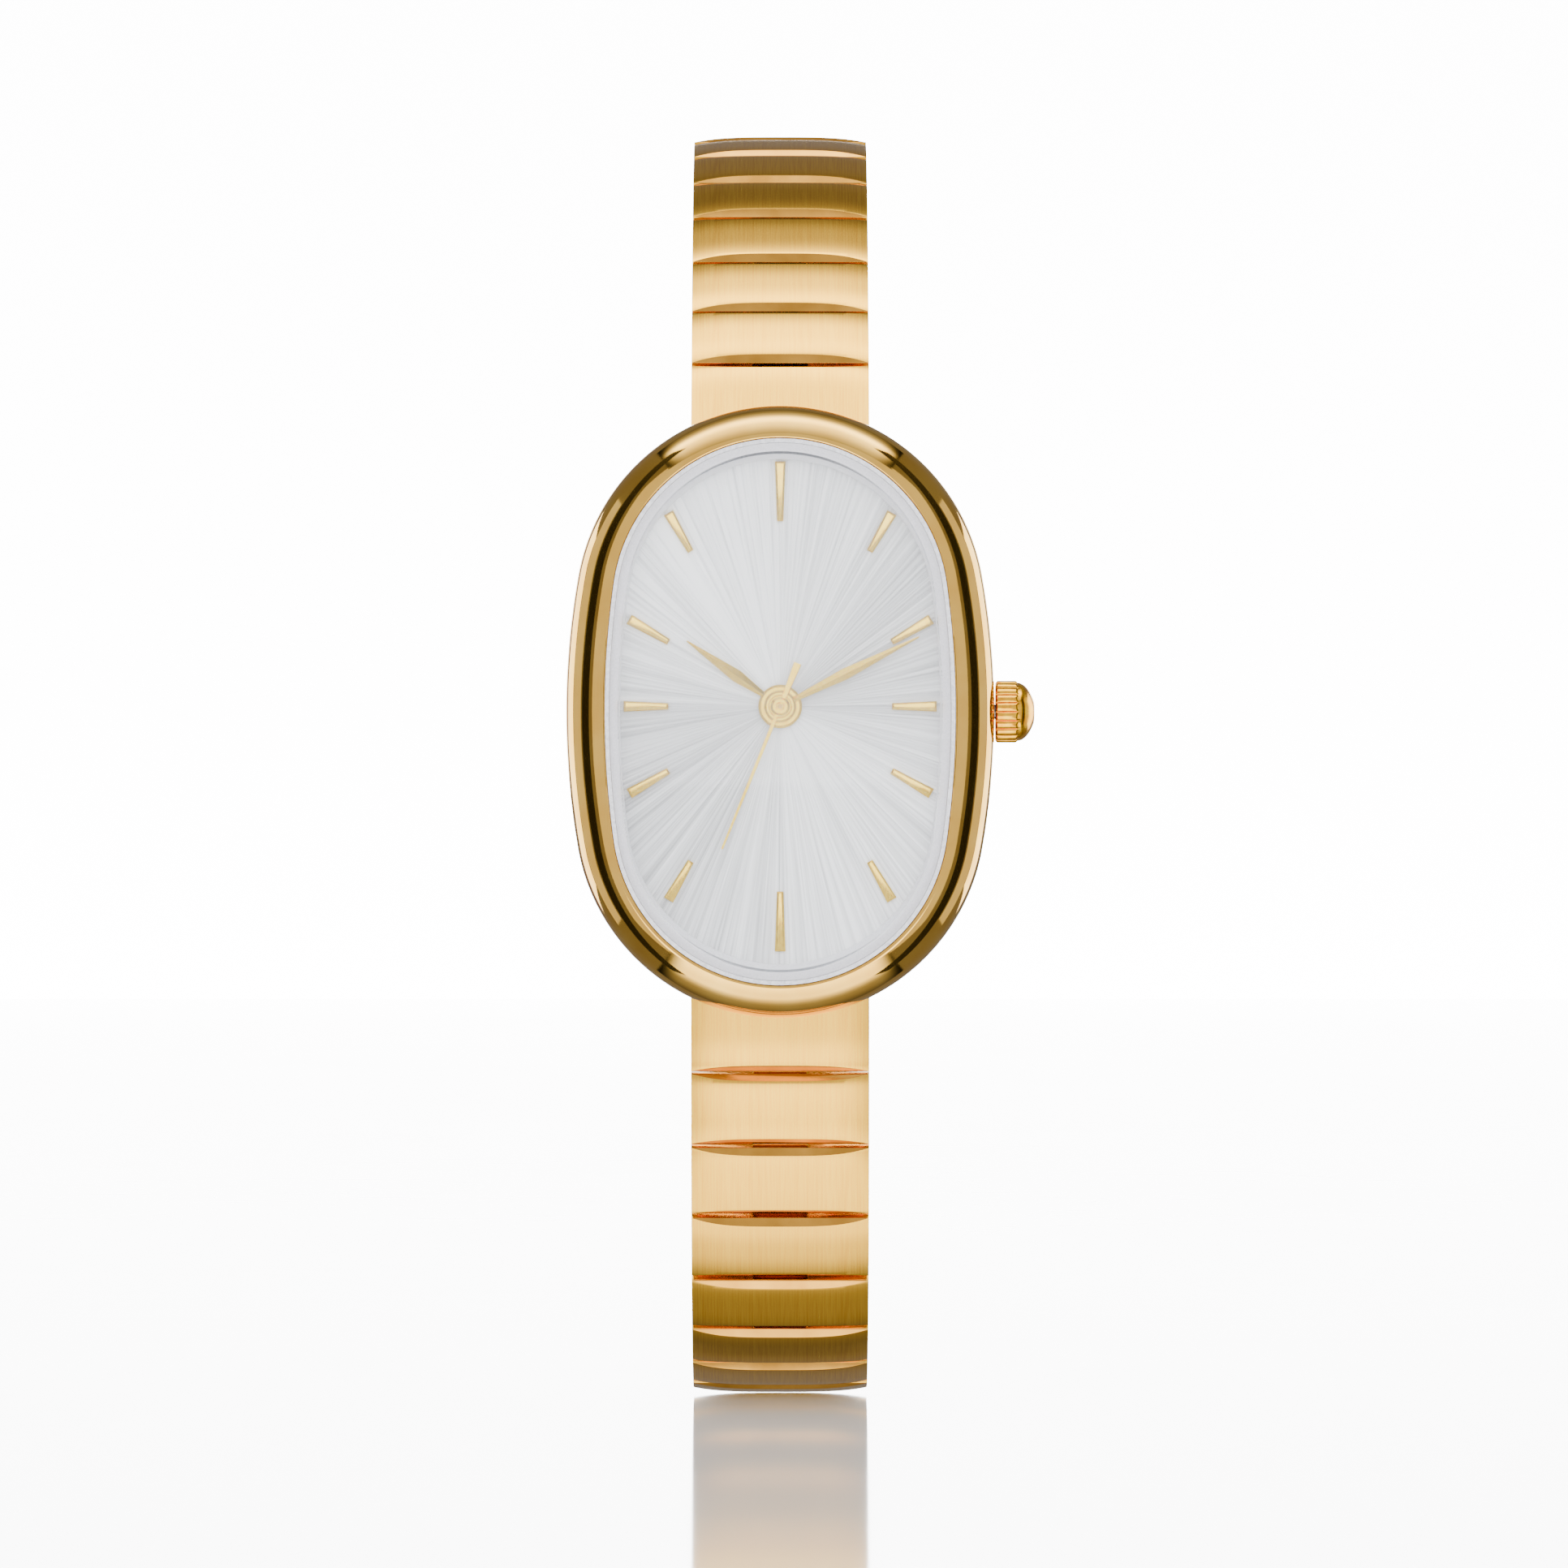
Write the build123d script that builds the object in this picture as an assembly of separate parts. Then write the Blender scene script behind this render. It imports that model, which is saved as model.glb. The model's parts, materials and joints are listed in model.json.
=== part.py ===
from build123d import *
import math
import os

# A lady's quartz wristwatch: oval domed case, full-width brushed links, closed clasp.
# Millimetres. +Z is 12 o'clock, the dial faces -Y, the crown is at +X.
# The origin is the centre of the case back's flat outer face.

# Shared fits
overrun = 0.5
running_gap = 0.02
loose_gap = 0.05
part_gap = 0.3

# Flat sides that stand for a curve on hidden and small pieces
oval_end_sides = 12
oval_flank_sides = 4
dome_bands = 4
arch_sides = 4
nose_arc = 60.0
small_sides = 8
middle_sides = 16
large_sides = 24

# Case, heights measured forwards from the case back's outer face
case_half_width = 12.0
case_half_length = 17.15
end_arc_share = 0.958
case_bottom = 0.6
crest_height = 6.6
dome_radius = 2.4
case_edge_chamfer = 0.3
crystal_opening_half_width = 9.8
crystal_opening_half_length = 15.27
crystal_seat = 5.7
dial_chamber_half_width = 9.4
dial_chamber_half_length = 14.85
dial_seat = 4.0
cavity_half_width = 8.9
cavity_half_length = 12.0

# Case back
back_half_width = 10.2
back_half_length = 12.5
back_plate = 1.0
back_edge_chamfer = 0.3
back_skirt_height = 0.9
back_skirt_wall = 0.5
back_gasket_height = 0.3
pry_slot_width = 2.4
pry_slot_depth = 0.35

# Crystal and its ring of packing
gasket_wall = 0.25
gasket_height = 0.8
crystal_height = 1.15
crystal_bevel_width = 0.5
crystal_bevel_drop = 0.28

# Dial
dial_centre_up = 0.3
dial_thickness = 0.35
dial_window_half_width = 8.95
dial_window_half_length = 14.1
dial_ring_slope = 0.3
dial_hole_radius = 0.75
marker_outer_width = 0.6
marker_inner_width = 0.36
marker_height = 0.32
marker_bevel = 0.1
marker_twelve_inner = 10.35
marker_twelve_outer = 13.7
marker_one_inner = 10.0
marker_one_outer = 12.5
marker_two_inner = 7.2
marker_two_outer = 9.75
marker_three_inner = 6.25
marker_three_outer = 8.75

# Hands, turned clockwise from 12 o'clock
hour_angle = 305.0
minute_angle = 63.4
second_angle = 202.2
hand_gap = 0.09
hour_hand_height = 4.74
hour_hub_radius = 1.22
hour_hand_length = 6.4
hour_hand_wide = 0.62
hour_wide_share = 0.36
minute_hub_radius = 0.9
minute_hand_length = 8.7
minute_hand_wide = 0.56
minute_wide_share = 0.42
hand_neck_width = 0.3
hand_tip_width = 0.06
hand_plate = 0.2
hub_bevel_share = 0.33
second_hub_radius = 0.55
second_hub_height = 0.26
second_hand_length = 8.6
second_hand_width = 0.2
second_tip_width = 0.1
second_tail_length = 2.6
second_tail_width = 0.42
second_plate = 0.12

# Coaxial pipes at the dial centre
second_arbor_radius = 0.16
pipe_wall = 0.12

# Movement, heights from the case back's outer face
movement_half_width = 7.4
movement_half_length = 9.6
bridge_height = 1.15
bridge_thickness = 0.27
bridge_lower_edge = -2.0
plate_height = 2.8
plate_thickness = 0.55
pivot_depth = 0.2
pivot_radius = 0.1
post_radius = 0.55
post_x = 5.9
post_upper_y = 3.0
post_lower_y = -0.9
holder_height = 2.05
holder_slot_width = 1.9
battery_radius = 3.4
battery_thickness = 2.1
battery_y = -5.75
battery_height = 1.1
battery_step_radius = 2.75
battery_step_height = 0.25
board_left = 2.9
board_width = 3.5
board_top = -0.6
board_length = 2.7
board_thickness = 0.23
chip_width = 1.5
chip_height = 0.35

# Step motor
rotor_radius = 0.8
rotor_height = 0.2
stator_hole_gap = 0.15
stator_height = 2.31
stator_thickness = 0.22
stator_half_width = 4.4
stator_half_depth = 1.3
stator_leg_width = 1.0
coil_y = 7.4
coil_radius = 0.6
coil_half_length = 3.1
core_half_depth = 0.45
core_thickness = 0.25

# Going train, tooth counts and the gap between centre and side arbors
leaf_count = 6
rotor_wheel_teeth = 36
second_wheel_teeth = 30
third_wheel_teeth = 45
centre_wheel_teeth = 48
train_distance = 2.55
rotor_distance = 2.1
intermediate_angle = 75.0
rotor_angle = 110.0
third_angle = 150.0
rim_thickness = 0.12
leaf_height = 0.24
second_rim_height = 1.6
third_rim_height = 1.88
intermediate_rim_height = 2.1
centre_rim_height = 2.5
addendum_share = 0.85
dedendum_share = 1.15

# Motion work under the dial
cannon_teeth = 10
minute_wheel_teeth = 30
minute_pinion_teeth = 8
hour_wheel_teeth = 32
motion_distance = 2.4
minute_wheel_angle = 300.0
motion_gap = 0.06
minute_post_radius = 0.2

# Crown and stem
crown_height = 2.6
crown_radius = 1.75
crown_gap = 0.06
crown_flute_length = 1.25
crown_dome_length = 0.95
crown_end_radius = 0.5
crown_dome_bulge = 0.14
crown_flutes = 20
flute_depth = 0.14
flute_crest_share = 0.5
crown_wall = 0.45
stem_radius = 0.4
stem_inner_end = 4.6
stem_tip_radius = 0.25
stem_tip_length = 1.0
stem_groove_start = 6.0
stem_groove_width = 0.4
stem_groove_radius = 0.24
lever_width = 1.6
lever_depth = 0.75

# Strap
strap_width = 10.0
link_pitch = 4.1
end_link_length = 6.03
strap_pivot_inset = 2.55
strap_pivot_height = 1.9
link_under = 0.6
link_edge_top = 0.85
link_crown_rise = 0.3
link_bevel = 0.3
link_set_back = 0.3
link_half_gap = 0.04
pin_inset = 0.45
pin_radius = 0.25
tongue_width = 3.0
tongue_radius = 0.5
pocket_ceiling = 0.68
end_knuckle_radius = 0.95
end_shoulder_share = 0.667
spring_bar_radius = 0.4
spring_bar_reach = 1.4
notch_inner_gap = 0.2
notch_side_gap = 0.1
notch_roof = 3.3

# Tilt of every link away from the dial's plane, in degrees, end link first
upper_tilts = (36, 43.5, 46, 51, 60.5, 67, 77, 92, 108, 124, 140, 154, 165, 172, 176)
lower_tilts = (5, 10.5, 21, 33.5, 47.5, 61, 72, 84, 97, 110, 124, 138, 150, 158)

# Clasp, a gently curved box closed by a flap
clasp_arc = 24.0
clasp_floor_under = 0.9
clasp_floor = 0.5
clasp_wall = 0.7
clasp_wall_top = 0.6
clasp_end_block = 2.0
flap_thickness = 0.65
flap_pivot_along = 2.9
flap_knuckle_radius = 0.5
flap_knuckle_width = 6.0
flap_pin_radius = 0.22
flap_end_lip = 0.6
catch_bar_radius = 0.3
catch_bar_back = 3.2
catch_tab_thickness = 0.4
catch_tab_depth = 0.75

# Sizes that follow from the ones above
crystal_top = crystal_seat + crystal_height
dial_top = dial_seat + dial_thickness
crown_start = case_half_width + crown_gap
strap_pivot_up = case_half_length - strap_pivot_inset
plate_top = plate_height + plate_thickness
back_recess_top = back_plate + back_gasket_height
notch_half_width = strap_width / 2 + notch_side_gap
centre_tube_inner = second_arbor_radius + running_gap
centre_tube_radius = centre_tube_inner + pipe_wall
cannon_inner = centre_tube_radius + running_gap
cannon_radius = cannon_inner + pipe_wall
hour_pipe_inner = cannon_radius + running_gap
hour_pipe_radius = hour_pipe_inner + pipe_wall
minute_hand_height = hour_hand_height + hand_plate + hand_gap
second_hand_height = minute_hand_height + hand_plate + hand_gap
second_module = train_distance / ((second_wheel_teeth + leaf_count) / 2)
third_module = train_distance / ((third_wheel_teeth + leaf_count) / 2)
centre_module = train_distance / ((centre_wheel_teeth + leaf_count) / 2)
rotor_module = rotor_distance / ((rotor_wheel_teeth + leaf_count) / 2)
cannon_module = motion_distance / ((cannon_teeth + minute_wheel_teeth) / 2)
hour_module = motion_distance / ((minute_pinion_teeth + hour_wheel_teeth) / 2)
link_crown_top = link_edge_top + link_crown_rise
link_near = link_half_gap - pin_inset
link_far = link_pitch - pin_inset - link_half_gap


def polar(distance, angle, centre=(0.0, 0.0)):
    """Point at a distance and an angle, anticlockwise from 3 o'clock, seen on the dial."""
    turn = math.radians(angle)
    return (centre[0] + distance * math.cos(turn), centre[1] + distance * math.sin(turn))


centre_spot = (0.0, dial_centre_up)
intermediate_spot = polar(train_distance, intermediate_angle, centre_spot)
rotor_spot = polar(rotor_distance, rotor_angle, intermediate_spot)
third_spot = polar(train_distance, third_angle, centre_spot)
minute_wheel_spot = polar(motion_distance, minute_wheel_angle, centre_spot)
battery_spot = (0.0, battery_y)
post_spots = ((-post_x, post_upper_y), (post_x, post_upper_y), (-post_x, post_lower_y))


def oval_arcs(half_width, half_length, inset):
    """The oval's four tangent arcs, right flank first: centre, radius and the two angles."""
    end_radius = half_width * end_arc_share
    lift = half_length - end_radius
    flank_radius = (half_width**2 + lift**2 - end_radius**2) / (2 * (half_width - end_radius))
    back_off = flank_radius - half_width
    lean = math.degrees(math.atan2(lift, back_off))
    return (
        ((-back_off, 0.0), flank_radius - inset, -lean, lean),
        ((0.0, lift), end_radius - inset, lean, 180 - lean),
        ((back_off, 0.0), flank_radius - inset, 180 - lean, 180 + lean),
        ((0.0, -lift), end_radius - inset, 180 + lean, 360 - lean),
    )


def oval(half_width, half_length, inset=0.0):
    """Face bounded by four tangent arcs: two long flat flanks and two round ends."""
    arcs = []
    for centre, radius, start, end in oval_arcs(half_width, half_length, inset):
        spots = [polar(radius, angle, centre) for angle in (start, (start + end) / 2, end)]
        arcs.append(ThreePointArc(*spots))
    return make_face(arcs)


def flat_sided_oval(half_width, half_length, inset=0.0):
    """The same oval with short straight sides in place of its arcs."""
    points = []
    for centre, radius, start, end in oval_arcs(half_width, half_length, inset):
        steps = oval_end_sides if radius < half_length else oval_flank_sides
        points += [polar(radius, start + (end - start) * step / steps, centre) for step in range(steps)]
    return make_face(Polyline(*points, close=True))


def oval_block(half_width, half_length, low, high, inset=0.0):
    """Upright flat-sided oval prism between two heights."""
    return extrude(Pos(0, 0, low) * flat_sided_oval(half_width, half_length, inset), high - low)


def round_plan(radius, sides=0, hole=False):
    """Circle, or a regular outline that lies inside it, or round it for a hole."""
    return RegularPolygon(radius, sides, major_radius=not hole) if sides else Circle(radius)


def disc(radius, low, high, spot=(0.0, 0.0), sides=0, hole=False):
    """Upright round bar between two heights."""
    return extrude(Pos(spot[0], spot[1], low) * round_plan(radius, sides, hole), high - low)


def slab(left, right, front, back, low, high):
    """Upright rectangular block between two heights."""
    plan = Pos((left + right) / 2, (front + back) / 2, low) * Rectangle(right - left, back - front)
    return extrude(plan, high - low)


def cross_bar(radius, start, end, sides=small_sides, hole=False):
    """Round bar along the stem's line."""
    plane = Plane((start, 0, crown_height), x_dir=(0, 1, 0), z_dir=(1, 0, 0))
    return extrude(plane * round_plan(radius, sides, hole), end - start)


def head(shape):
    """Stand a piece modelled dial-up on its edge, so that 12 o'clock points to +Z."""
    return Rot(90, 0, 0) * shape


# Case, back and crystal

def case_body():
    """Domed middle and bezel in one, bored for the dial, the movement, the stem and the strap."""
    shoulder = crest_height - dome_radius
    body = extrude(Pos(0, 0, case_bottom) * oval(case_half_width, case_half_length), shoulder - case_bottom)
    body = chamfer(body.edges().group_by(Axis.Z)[0], case_edge_chamfer)
    for band in range(dome_bands):
        rims = []
        for edge in (band, band + 1):
            turn = math.radians(90 * edge / dome_bands)
            inset = dome_radius * (1 - math.cos(turn))
            level = shoulder + dome_radius * math.sin(turn)
            rims.append(Pos(0, 0, level) * oval(case_half_width, case_half_length, inset))
        body += loft(rims, ruled=True)
    opening = Pos(0, 0, crystal_seat) * oval(crystal_opening_half_width, crystal_opening_half_length)
    opening = extrude(opening, crest_height - crystal_seat + overrun)
    chamber = oval_block(dial_chamber_half_width, dial_chamber_half_length, dial_seat, crystal_seat)
    cavity = oval_block(cavity_half_width, cavity_half_length, back_recess_top, dial_seat)
    recess = oval_block(back_half_width, back_half_length, case_bottom - overrun, back_recess_top)
    body = body - opening - chamber - cavity - recess
    body -= cross_bar(stem_radius + loose_gap, cavity_half_width - overrun, case_half_width + overrun, hole=True)
    inner_wall = strap_pivot_up - end_knuckle_radius - notch_inner_gap
    hole_end = notch_half_width + spring_bar_reach + loose_gap
    for side in (-1, 1):
        notch = slab(
            -notch_half_width, notch_half_width,
            min(side * inner_wall, side * (case_half_length + overrun)),
            max(side * inner_wall, side * (case_half_length + overrun)),
            case_bottom - overrun, notch_roof,
        )
        bar_hole = Plane.YZ * Pos(side * strap_pivot_up, strap_pivot_height) * round_plan(
            spring_bar_radius + loose_gap, small_sides, hole=True
        )
        body = body - notch - extrude(bar_hole, hole_end, both=True)
    return body


def case_back():
    """Snap-on back: flat plate, pry slot and a skirt that grips the cavity wall."""
    plate = oval_block(back_half_width, back_half_length, 0, back_plate, loose_gap)
    plate = chamfer(plate.edges().group_by(Axis.Z)[0], back_edge_chamfer)
    skirt_top = back_plate + back_skirt_height
    skirt = oval_block(cavity_half_width, cavity_half_length, back_plate, skirt_top, loose_gap)
    skirt -= oval_block(cavity_half_width, cavity_half_length, back_plate, skirt_top, loose_gap + back_skirt_wall)
    slot = slab(
        -pry_slot_width / 2, pry_slot_width / 2,
        -back_half_length, -back_half_length + 2 * pry_slot_depth,
        case_bottom - overrun, case_bottom + pry_slot_depth,
    )
    return plate + skirt - slot


def case_back_gasket():
    """Flat ring squeezed between the back plate and the case."""
    ring = oval_block(back_half_width, back_half_length, back_plate, back_recess_top, loose_gap)
    return ring - oval_block(cavity_half_width, cavity_half_length, back_plate, back_recess_top)


def crystal():
    """Flat mineral glass with a bevelled rim."""
    glass = oval_block(
        crystal_opening_half_width, crystal_opening_half_length, crystal_seat, crystal_top, gasket_wall + running_gap
    )
    rim = glass.edges().group_by(Axis.Z)[-1]
    return chamfer(rim, crystal_bevel_width, crystal_bevel_drop, reference=glass.faces().sort_by(Axis.Z)[-1])


def crystal_gasket():
    """Clear packing ring between the glass and the case."""
    top = crystal_seat + gasket_height
    ring = oval_block(crystal_opening_half_width, crystal_opening_half_length, crystal_seat, top, running_gap)
    return ring - oval_block(crystal_opening_half_width, crystal_opening_half_length, crystal_seat, top, gasket_wall)


def dial_ring():
    """Pale sloped ring that holds the dial down and frames it."""
    ring = oval_block(dial_chamber_half_width, dial_chamber_half_length, dial_top, crystal_seat, running_gap)
    ring -= oval_block(dial_window_half_width, dial_window_half_length, dial_top, crystal_seat)
    slope = [
        Pos(0, 0, crystal_seat + turn * dial_ring_slope) * flat_sided_oval(
            dial_window_half_width, dial_window_half_length, -(turn + 1) * dial_ring_slope
        )
        for turn in (-1, 1)
    ]
    return ring - loft(slope, ruled=True)


def dial():
    """Thin oval dial plate with its centre hole."""
    plate = oval_block(dial_chamber_half_width, dial_chamber_half_length, dial_seat, dial_top, loose_gap)
    return plate - disc(dial_hole_radius, dial_seat - overrun, dial_top + overrun, centre_spot, middle_sides)


def hour_markers():
    """Twelve tapered bevelled bars set round the dial."""
    ends = {
        0: (marker_twelve_inner, marker_twelve_outer),
        1: (marker_one_inner, marker_one_outer),
        2: (marker_two_inner, marker_two_outer),
        3: (marker_three_inner, marker_three_outer),
    }
    bars = []
    for hour in range(12):
        from_upright = min(hour % 6, 6 - hour % 6)
        inner, outer = ends[from_upright]
        half_in = marker_inner_width / 2
        half_out = marker_outer_width / 2
        plan = make_face(Polyline((half_in, inner), (half_out, outer), (-half_out, outer), (-half_in, inner), close=True))
        bar = extrude(Pos(0, 0, dial_top + running_gap) * plan, marker_height)
        bar = chamfer(bar.edges().group_by(Axis.Z)[-1], marker_bevel)
        bars.append(Pos(*centre_spot, 0) * Rot(0, 0, -360 / 12 * hour) * bar)
    return Compound(children=bars)


# Hands

def lance(start, length, wide, wide_share, height):
    """Faceted blade with a ridge down its middle, along +Y."""
    def section(reach, width):
        plane = Plane((0, reach, height), x_dir=(-1, 0, 0), z_dir=(0, 1, 0))
        return plane * make_face(Polyline((-width / 2, 0), (width / 2, 0), (0, hand_plate), close=True))

    widest = start + (length - start) * wide_share
    stations = [section(start, hand_neck_width), section(widest, wide), section(length, hand_tip_width)]
    return loft(stations, ruled=True)


def hand_hub(radius, bore, height, thickness):
    """Round hub with a bevelled rim, pressed on its pipe."""
    hub = disc(radius, height, height + thickness, sides=middle_sides)
    hub = chamfer(hub.edges().group_by(Axis.Z)[-1], thickness * hub_bevel_share)
    return hub - disc(bore, height - overrun, height + thickness + overrun, sides=small_sides, hole=True)


def set_hand(shape, angle):
    """Turn a hand to its place on the dial."""
    return Pos(*centre_spot, 0) * Rot(0, 0, -angle) * shape


def hour_hand():
    blade = lance(hour_hub_radius - hand_plate, hour_hand_length, hour_hand_wide, hour_wide_share, hour_hand_height)
    return set_hand(blade + hand_hub(hour_hub_radius, hour_pipe_radius, hour_hand_height, hand_plate), hour_angle)


def minute_hand():
    blade = lance(
        minute_hub_radius - hand_plate, minute_hand_length, minute_hand_wide, minute_wide_share, minute_hand_height
    )
    return set_hand(blade + hand_hub(minute_hub_radius, cannon_radius, minute_hand_height, hand_plate), minute_angle)


def second_hand():
    needle = make_face(Polyline(
        (second_hand_width / 2, 0), (second_tip_width / 2, second_hand_length),
        (-second_tip_width / 2, second_hand_length), (-second_hand_width / 2, 0), close=True,
    ))
    tail_neck = second_hand_width / 2
    tail_half = second_tail_width / 2
    tail = make_face(Polyline(
        (tail_neck, 0), (tail_half, -second_tail_length), (-tail_half, -second_tail_length), (-tail_neck, 0), close=True,
    ))
    strip = extrude(Pos(0, 0, second_hand_height) * (needle + tail), second_plate)
    hub = hand_hub(second_hub_radius, second_arbor_radius, second_hand_height, second_hub_height)
    strip -= disc(
        second_arbor_radius, second_hand_height - overrun, second_hand_height + overrun, sides=small_sides, hole=True
    )
    return set_hand(strip + hub, second_angle)


# Toothed wheels

def rim(teeth, module, low, high, toward, spot, gap_there=False):
    """Toothed disc with a tooth, or the gap between two, facing its partner."""
    half_pitch = 360 / teeth / 2
    tip_radius = module * (teeth / 2 + addendum_share)
    root_radius = module * (teeth / 2 - dedendum_share)
    start = toward + (half_pitch if gap_there else 0)
    points = []
    for tooth in range(teeth):
        points.append(polar(tip_radius, start + 2 * tooth * half_pitch))
        points.append(polar(root_radius, start + (2 * tooth + 1) * half_pitch))
    plan = make_face(Polyline(*points, close=True))
    return extrude(Pos(spot[0], spot[1], low) * plan, high - low)


def arbor(spot, low=bridge_height, high=plate_height + pivot_depth):
    """Steel axle between the bridge and the main plate."""
    return disc(pivot_radius, low, high, spot, small_sides)


def rotor():
    """Disc magnet and its six-leaf pinion."""
    low = stator_height + (stator_thickness - rotor_height) / 2
    magnet = disc(rotor_radius, low, low + rotor_height, rotor_spot, middle_sides)
    leaves = rim(leaf_count, rotor_module, intermediate_rim_height - motion_gap, low, rotor_angle + 180, rotor_spot, True)
    return magnet + leaves + arbor(rotor_spot)


def intermediate_wheel():
    low = intermediate_rim_height
    wheel = rim(rotor_wheel_teeth, rotor_module, low, low + rim_thickness, rotor_angle, intermediate_spot)
    leaf_low = second_rim_height - motion_gap
    leaves = rim(
        leaf_count, second_module, leaf_low, leaf_low + leaf_height, intermediate_angle + 180, intermediate_spot, True
    )
    return wheel + leaves + arbor(intermediate_spot)


def second_wheel():
    """Seconds wheel, its pinion and the long arbor that carries the second hand."""
    low = second_rim_height
    wheel = rim(second_wheel_teeth, second_module, low, low + rim_thickness, intermediate_angle, centre_spot)
    leaf_low = third_rim_height - motion_gap
    leaves = rim(leaf_count, third_module, leaf_low, leaf_low + leaf_height, third_angle, centre_spot, True)
    lower = disc(pivot_radius, bridge_height, low, centre_spot, small_sides)
    upper = disc(second_arbor_radius, low, second_hand_height + second_hub_height / 2, centre_spot, small_sides)
    return wheel + leaves + lower + upper


def third_wheel():
    low = third_rim_height
    wheel = rim(third_wheel_teeth, third_module, low, low + rim_thickness, third_angle + 180, third_spot)
    leaf_low = centre_rim_height - motion_gap
    leaves = rim(leaf_count, centre_module, leaf_low, leaf_low + leaf_height, third_angle + 180, third_spot, True)
    return wheel + leaves + arbor(third_spot)


def centre_wheel():
    """Minute wheel of the train, on a tube round the seconds arbor."""
    low = centre_rim_height
    wheel = rim(centre_wheel_teeth, centre_module, low, low + rim_thickness, third_angle, centre_spot)
    top = hour_hand_height - hand_gap
    tube = disc(centre_tube_radius, low - motion_gap, top, centre_spot, small_sides)
    return wheel + tube - disc(centre_tube_inner, low - overrun, top + overrun, centre_spot, small_sides, hole=True)


def cannon_pinion():
    """Ten-leaf pinion whose pipe carries the minute hand."""
    low = plate_top + motion_gap
    leaves = rim(cannon_teeth, cannon_module, low, low + leaf_height, minute_wheel_angle, centre_spot, True)
    top = minute_hand_height + hand_plate
    pipe = disc(cannon_radius, low, top, centre_spot, small_sides)
    return leaves + pipe - disc(cannon_inner, low - overrun, top + overrun, centre_spot, small_sides, hole=True)


def minute_wheel():
    low = plate_top + motion_gap
    toward = minute_wheel_angle + 180
    wheel = rim(minute_wheel_teeth, cannon_module, low, low + rim_thickness, toward, minute_wheel_spot)
    top = dial_seat - motion_gap
    leaves = rim(minute_pinion_teeth, hour_module, low + rim_thickness, top, toward, minute_wheel_spot, True)
    room = disc(
        minute_post_radius + running_gap, low - overrun, top + overrun, minute_wheel_spot, small_sides, hole=True
    )
    return wheel + leaves - room


def hour_wheel():
    """Hour wheel whose pipe passes through the dial to the hour hand."""
    low = plate_top + motion_gap + leaf_height + motion_gap
    wheel = rim(hour_wheel_teeth, hour_module, low, low + rim_thickness, minute_wheel_angle, centre_spot)
    top = hour_hand_height + hand_plate
    pipe = disc(hour_pipe_radius, low, top, centre_spot, small_sides)
    return wheel + pipe - disc(hour_pipe_inner, low - overrun, top + overrun, centre_spot, small_sides, hole=True)


# Movement plates and fixed parts

def main_plate():
    """Base of the movement: posts, pivot holes, battery well, stem channel and minute wheel post."""
    plate = oval_block(movement_half_width, movement_half_length, plate_height, plate_top)
    for spot in post_spots:
        plate += disc(post_radius, bridge_height + bridge_thickness, plate_height, spot, small_sides)
    plate += disc(minute_post_radius, plate_top, dial_seat - motion_gap, minute_wheel_spot)
    plate -= disc(
        battery_radius + loose_gap, plate_height - overrun, plate_top + overrun, battery_spot, large_sides, hole=True
    )
    plate -= disc(centre_tube_radius + running_gap, plate_height - overrun, plate_top + overrun, centre_spot)
    for spot in (rotor_spot, intermediate_spot, third_spot):
        plate -= disc(pivot_radius + running_gap, plate_height - overrun, plate_height + pivot_depth + running_gap, spot)
    stem_room = stem_radius + loose_gap
    channel_start = stem_inner_end - stem_tip_length - loose_gap
    plate -= cross_bar(stem_room, channel_start, movement_half_width + overrun, hole=True)
    plate -= slab(
        channel_start, movement_half_width + overrun, -stem_room, stem_room, plate_height - overrun, plate_height
    )
    return plate


def train_bridge():
    """Plate on three posts that holds the lower pivots."""
    bridge = oval_block(
        movement_half_width, movement_half_length, bridge_height, bridge_height + bridge_thickness, part_gap
    )
    bridge -= slab(
        -movement_half_width, movement_half_width, -movement_half_length, bridge_lower_edge,
        bridge_height - overrun, bridge_height + overrun,
    )
    for spot in (rotor_spot, intermediate_spot, third_spot, centre_spot):
        bridge -= disc(
            pivot_radius + running_gap, bridge_height - overrun, bridge_height + overrun, spot, small_sides, hole=True
        )
    return bridge


def movement_holder():
    """Plastic spacer ring between the movement and the case."""
    holder = oval_block(cavity_half_width, cavity_half_length, holder_height, dial_seat, loose_gap)
    holder -= oval_block(
        movement_half_width, movement_half_length, holder_height - overrun, dial_seat + overrun, -loose_gap
    )
    return holder - slab(
        0, case_half_width, -holder_slot_width / 2, holder_slot_width / 2,
        holder_height - overrun, crown_height + stem_radius + loose_gap,
    )


def battery():
    """Stepped button cell."""
    top = battery_height + battery_thickness
    can = disc(battery_radius, battery_height, top - battery_step_height, battery_spot, large_sides)
    return can + disc(battery_step_radius, top - battery_step_height, top, battery_spot, large_sides)


def circuit_board():
    """Small board seated on the bridge, with its chip."""
    low = bridge_height + bridge_thickness
    board = slab(
        board_left, board_left + board_width, board_top - board_length, board_top, low, low + board_thickness
    )
    chip_left = board_left + (board_width - chip_width) / 2
    chip_back = board_top - (board_length - chip_width) / 2
    chip = slab(
        chip_left, chip_left + chip_width, chip_back - chip_width, chip_back,
        low + board_thickness, low + board_thickness + chip_height,
    )
    return board + chip


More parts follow.
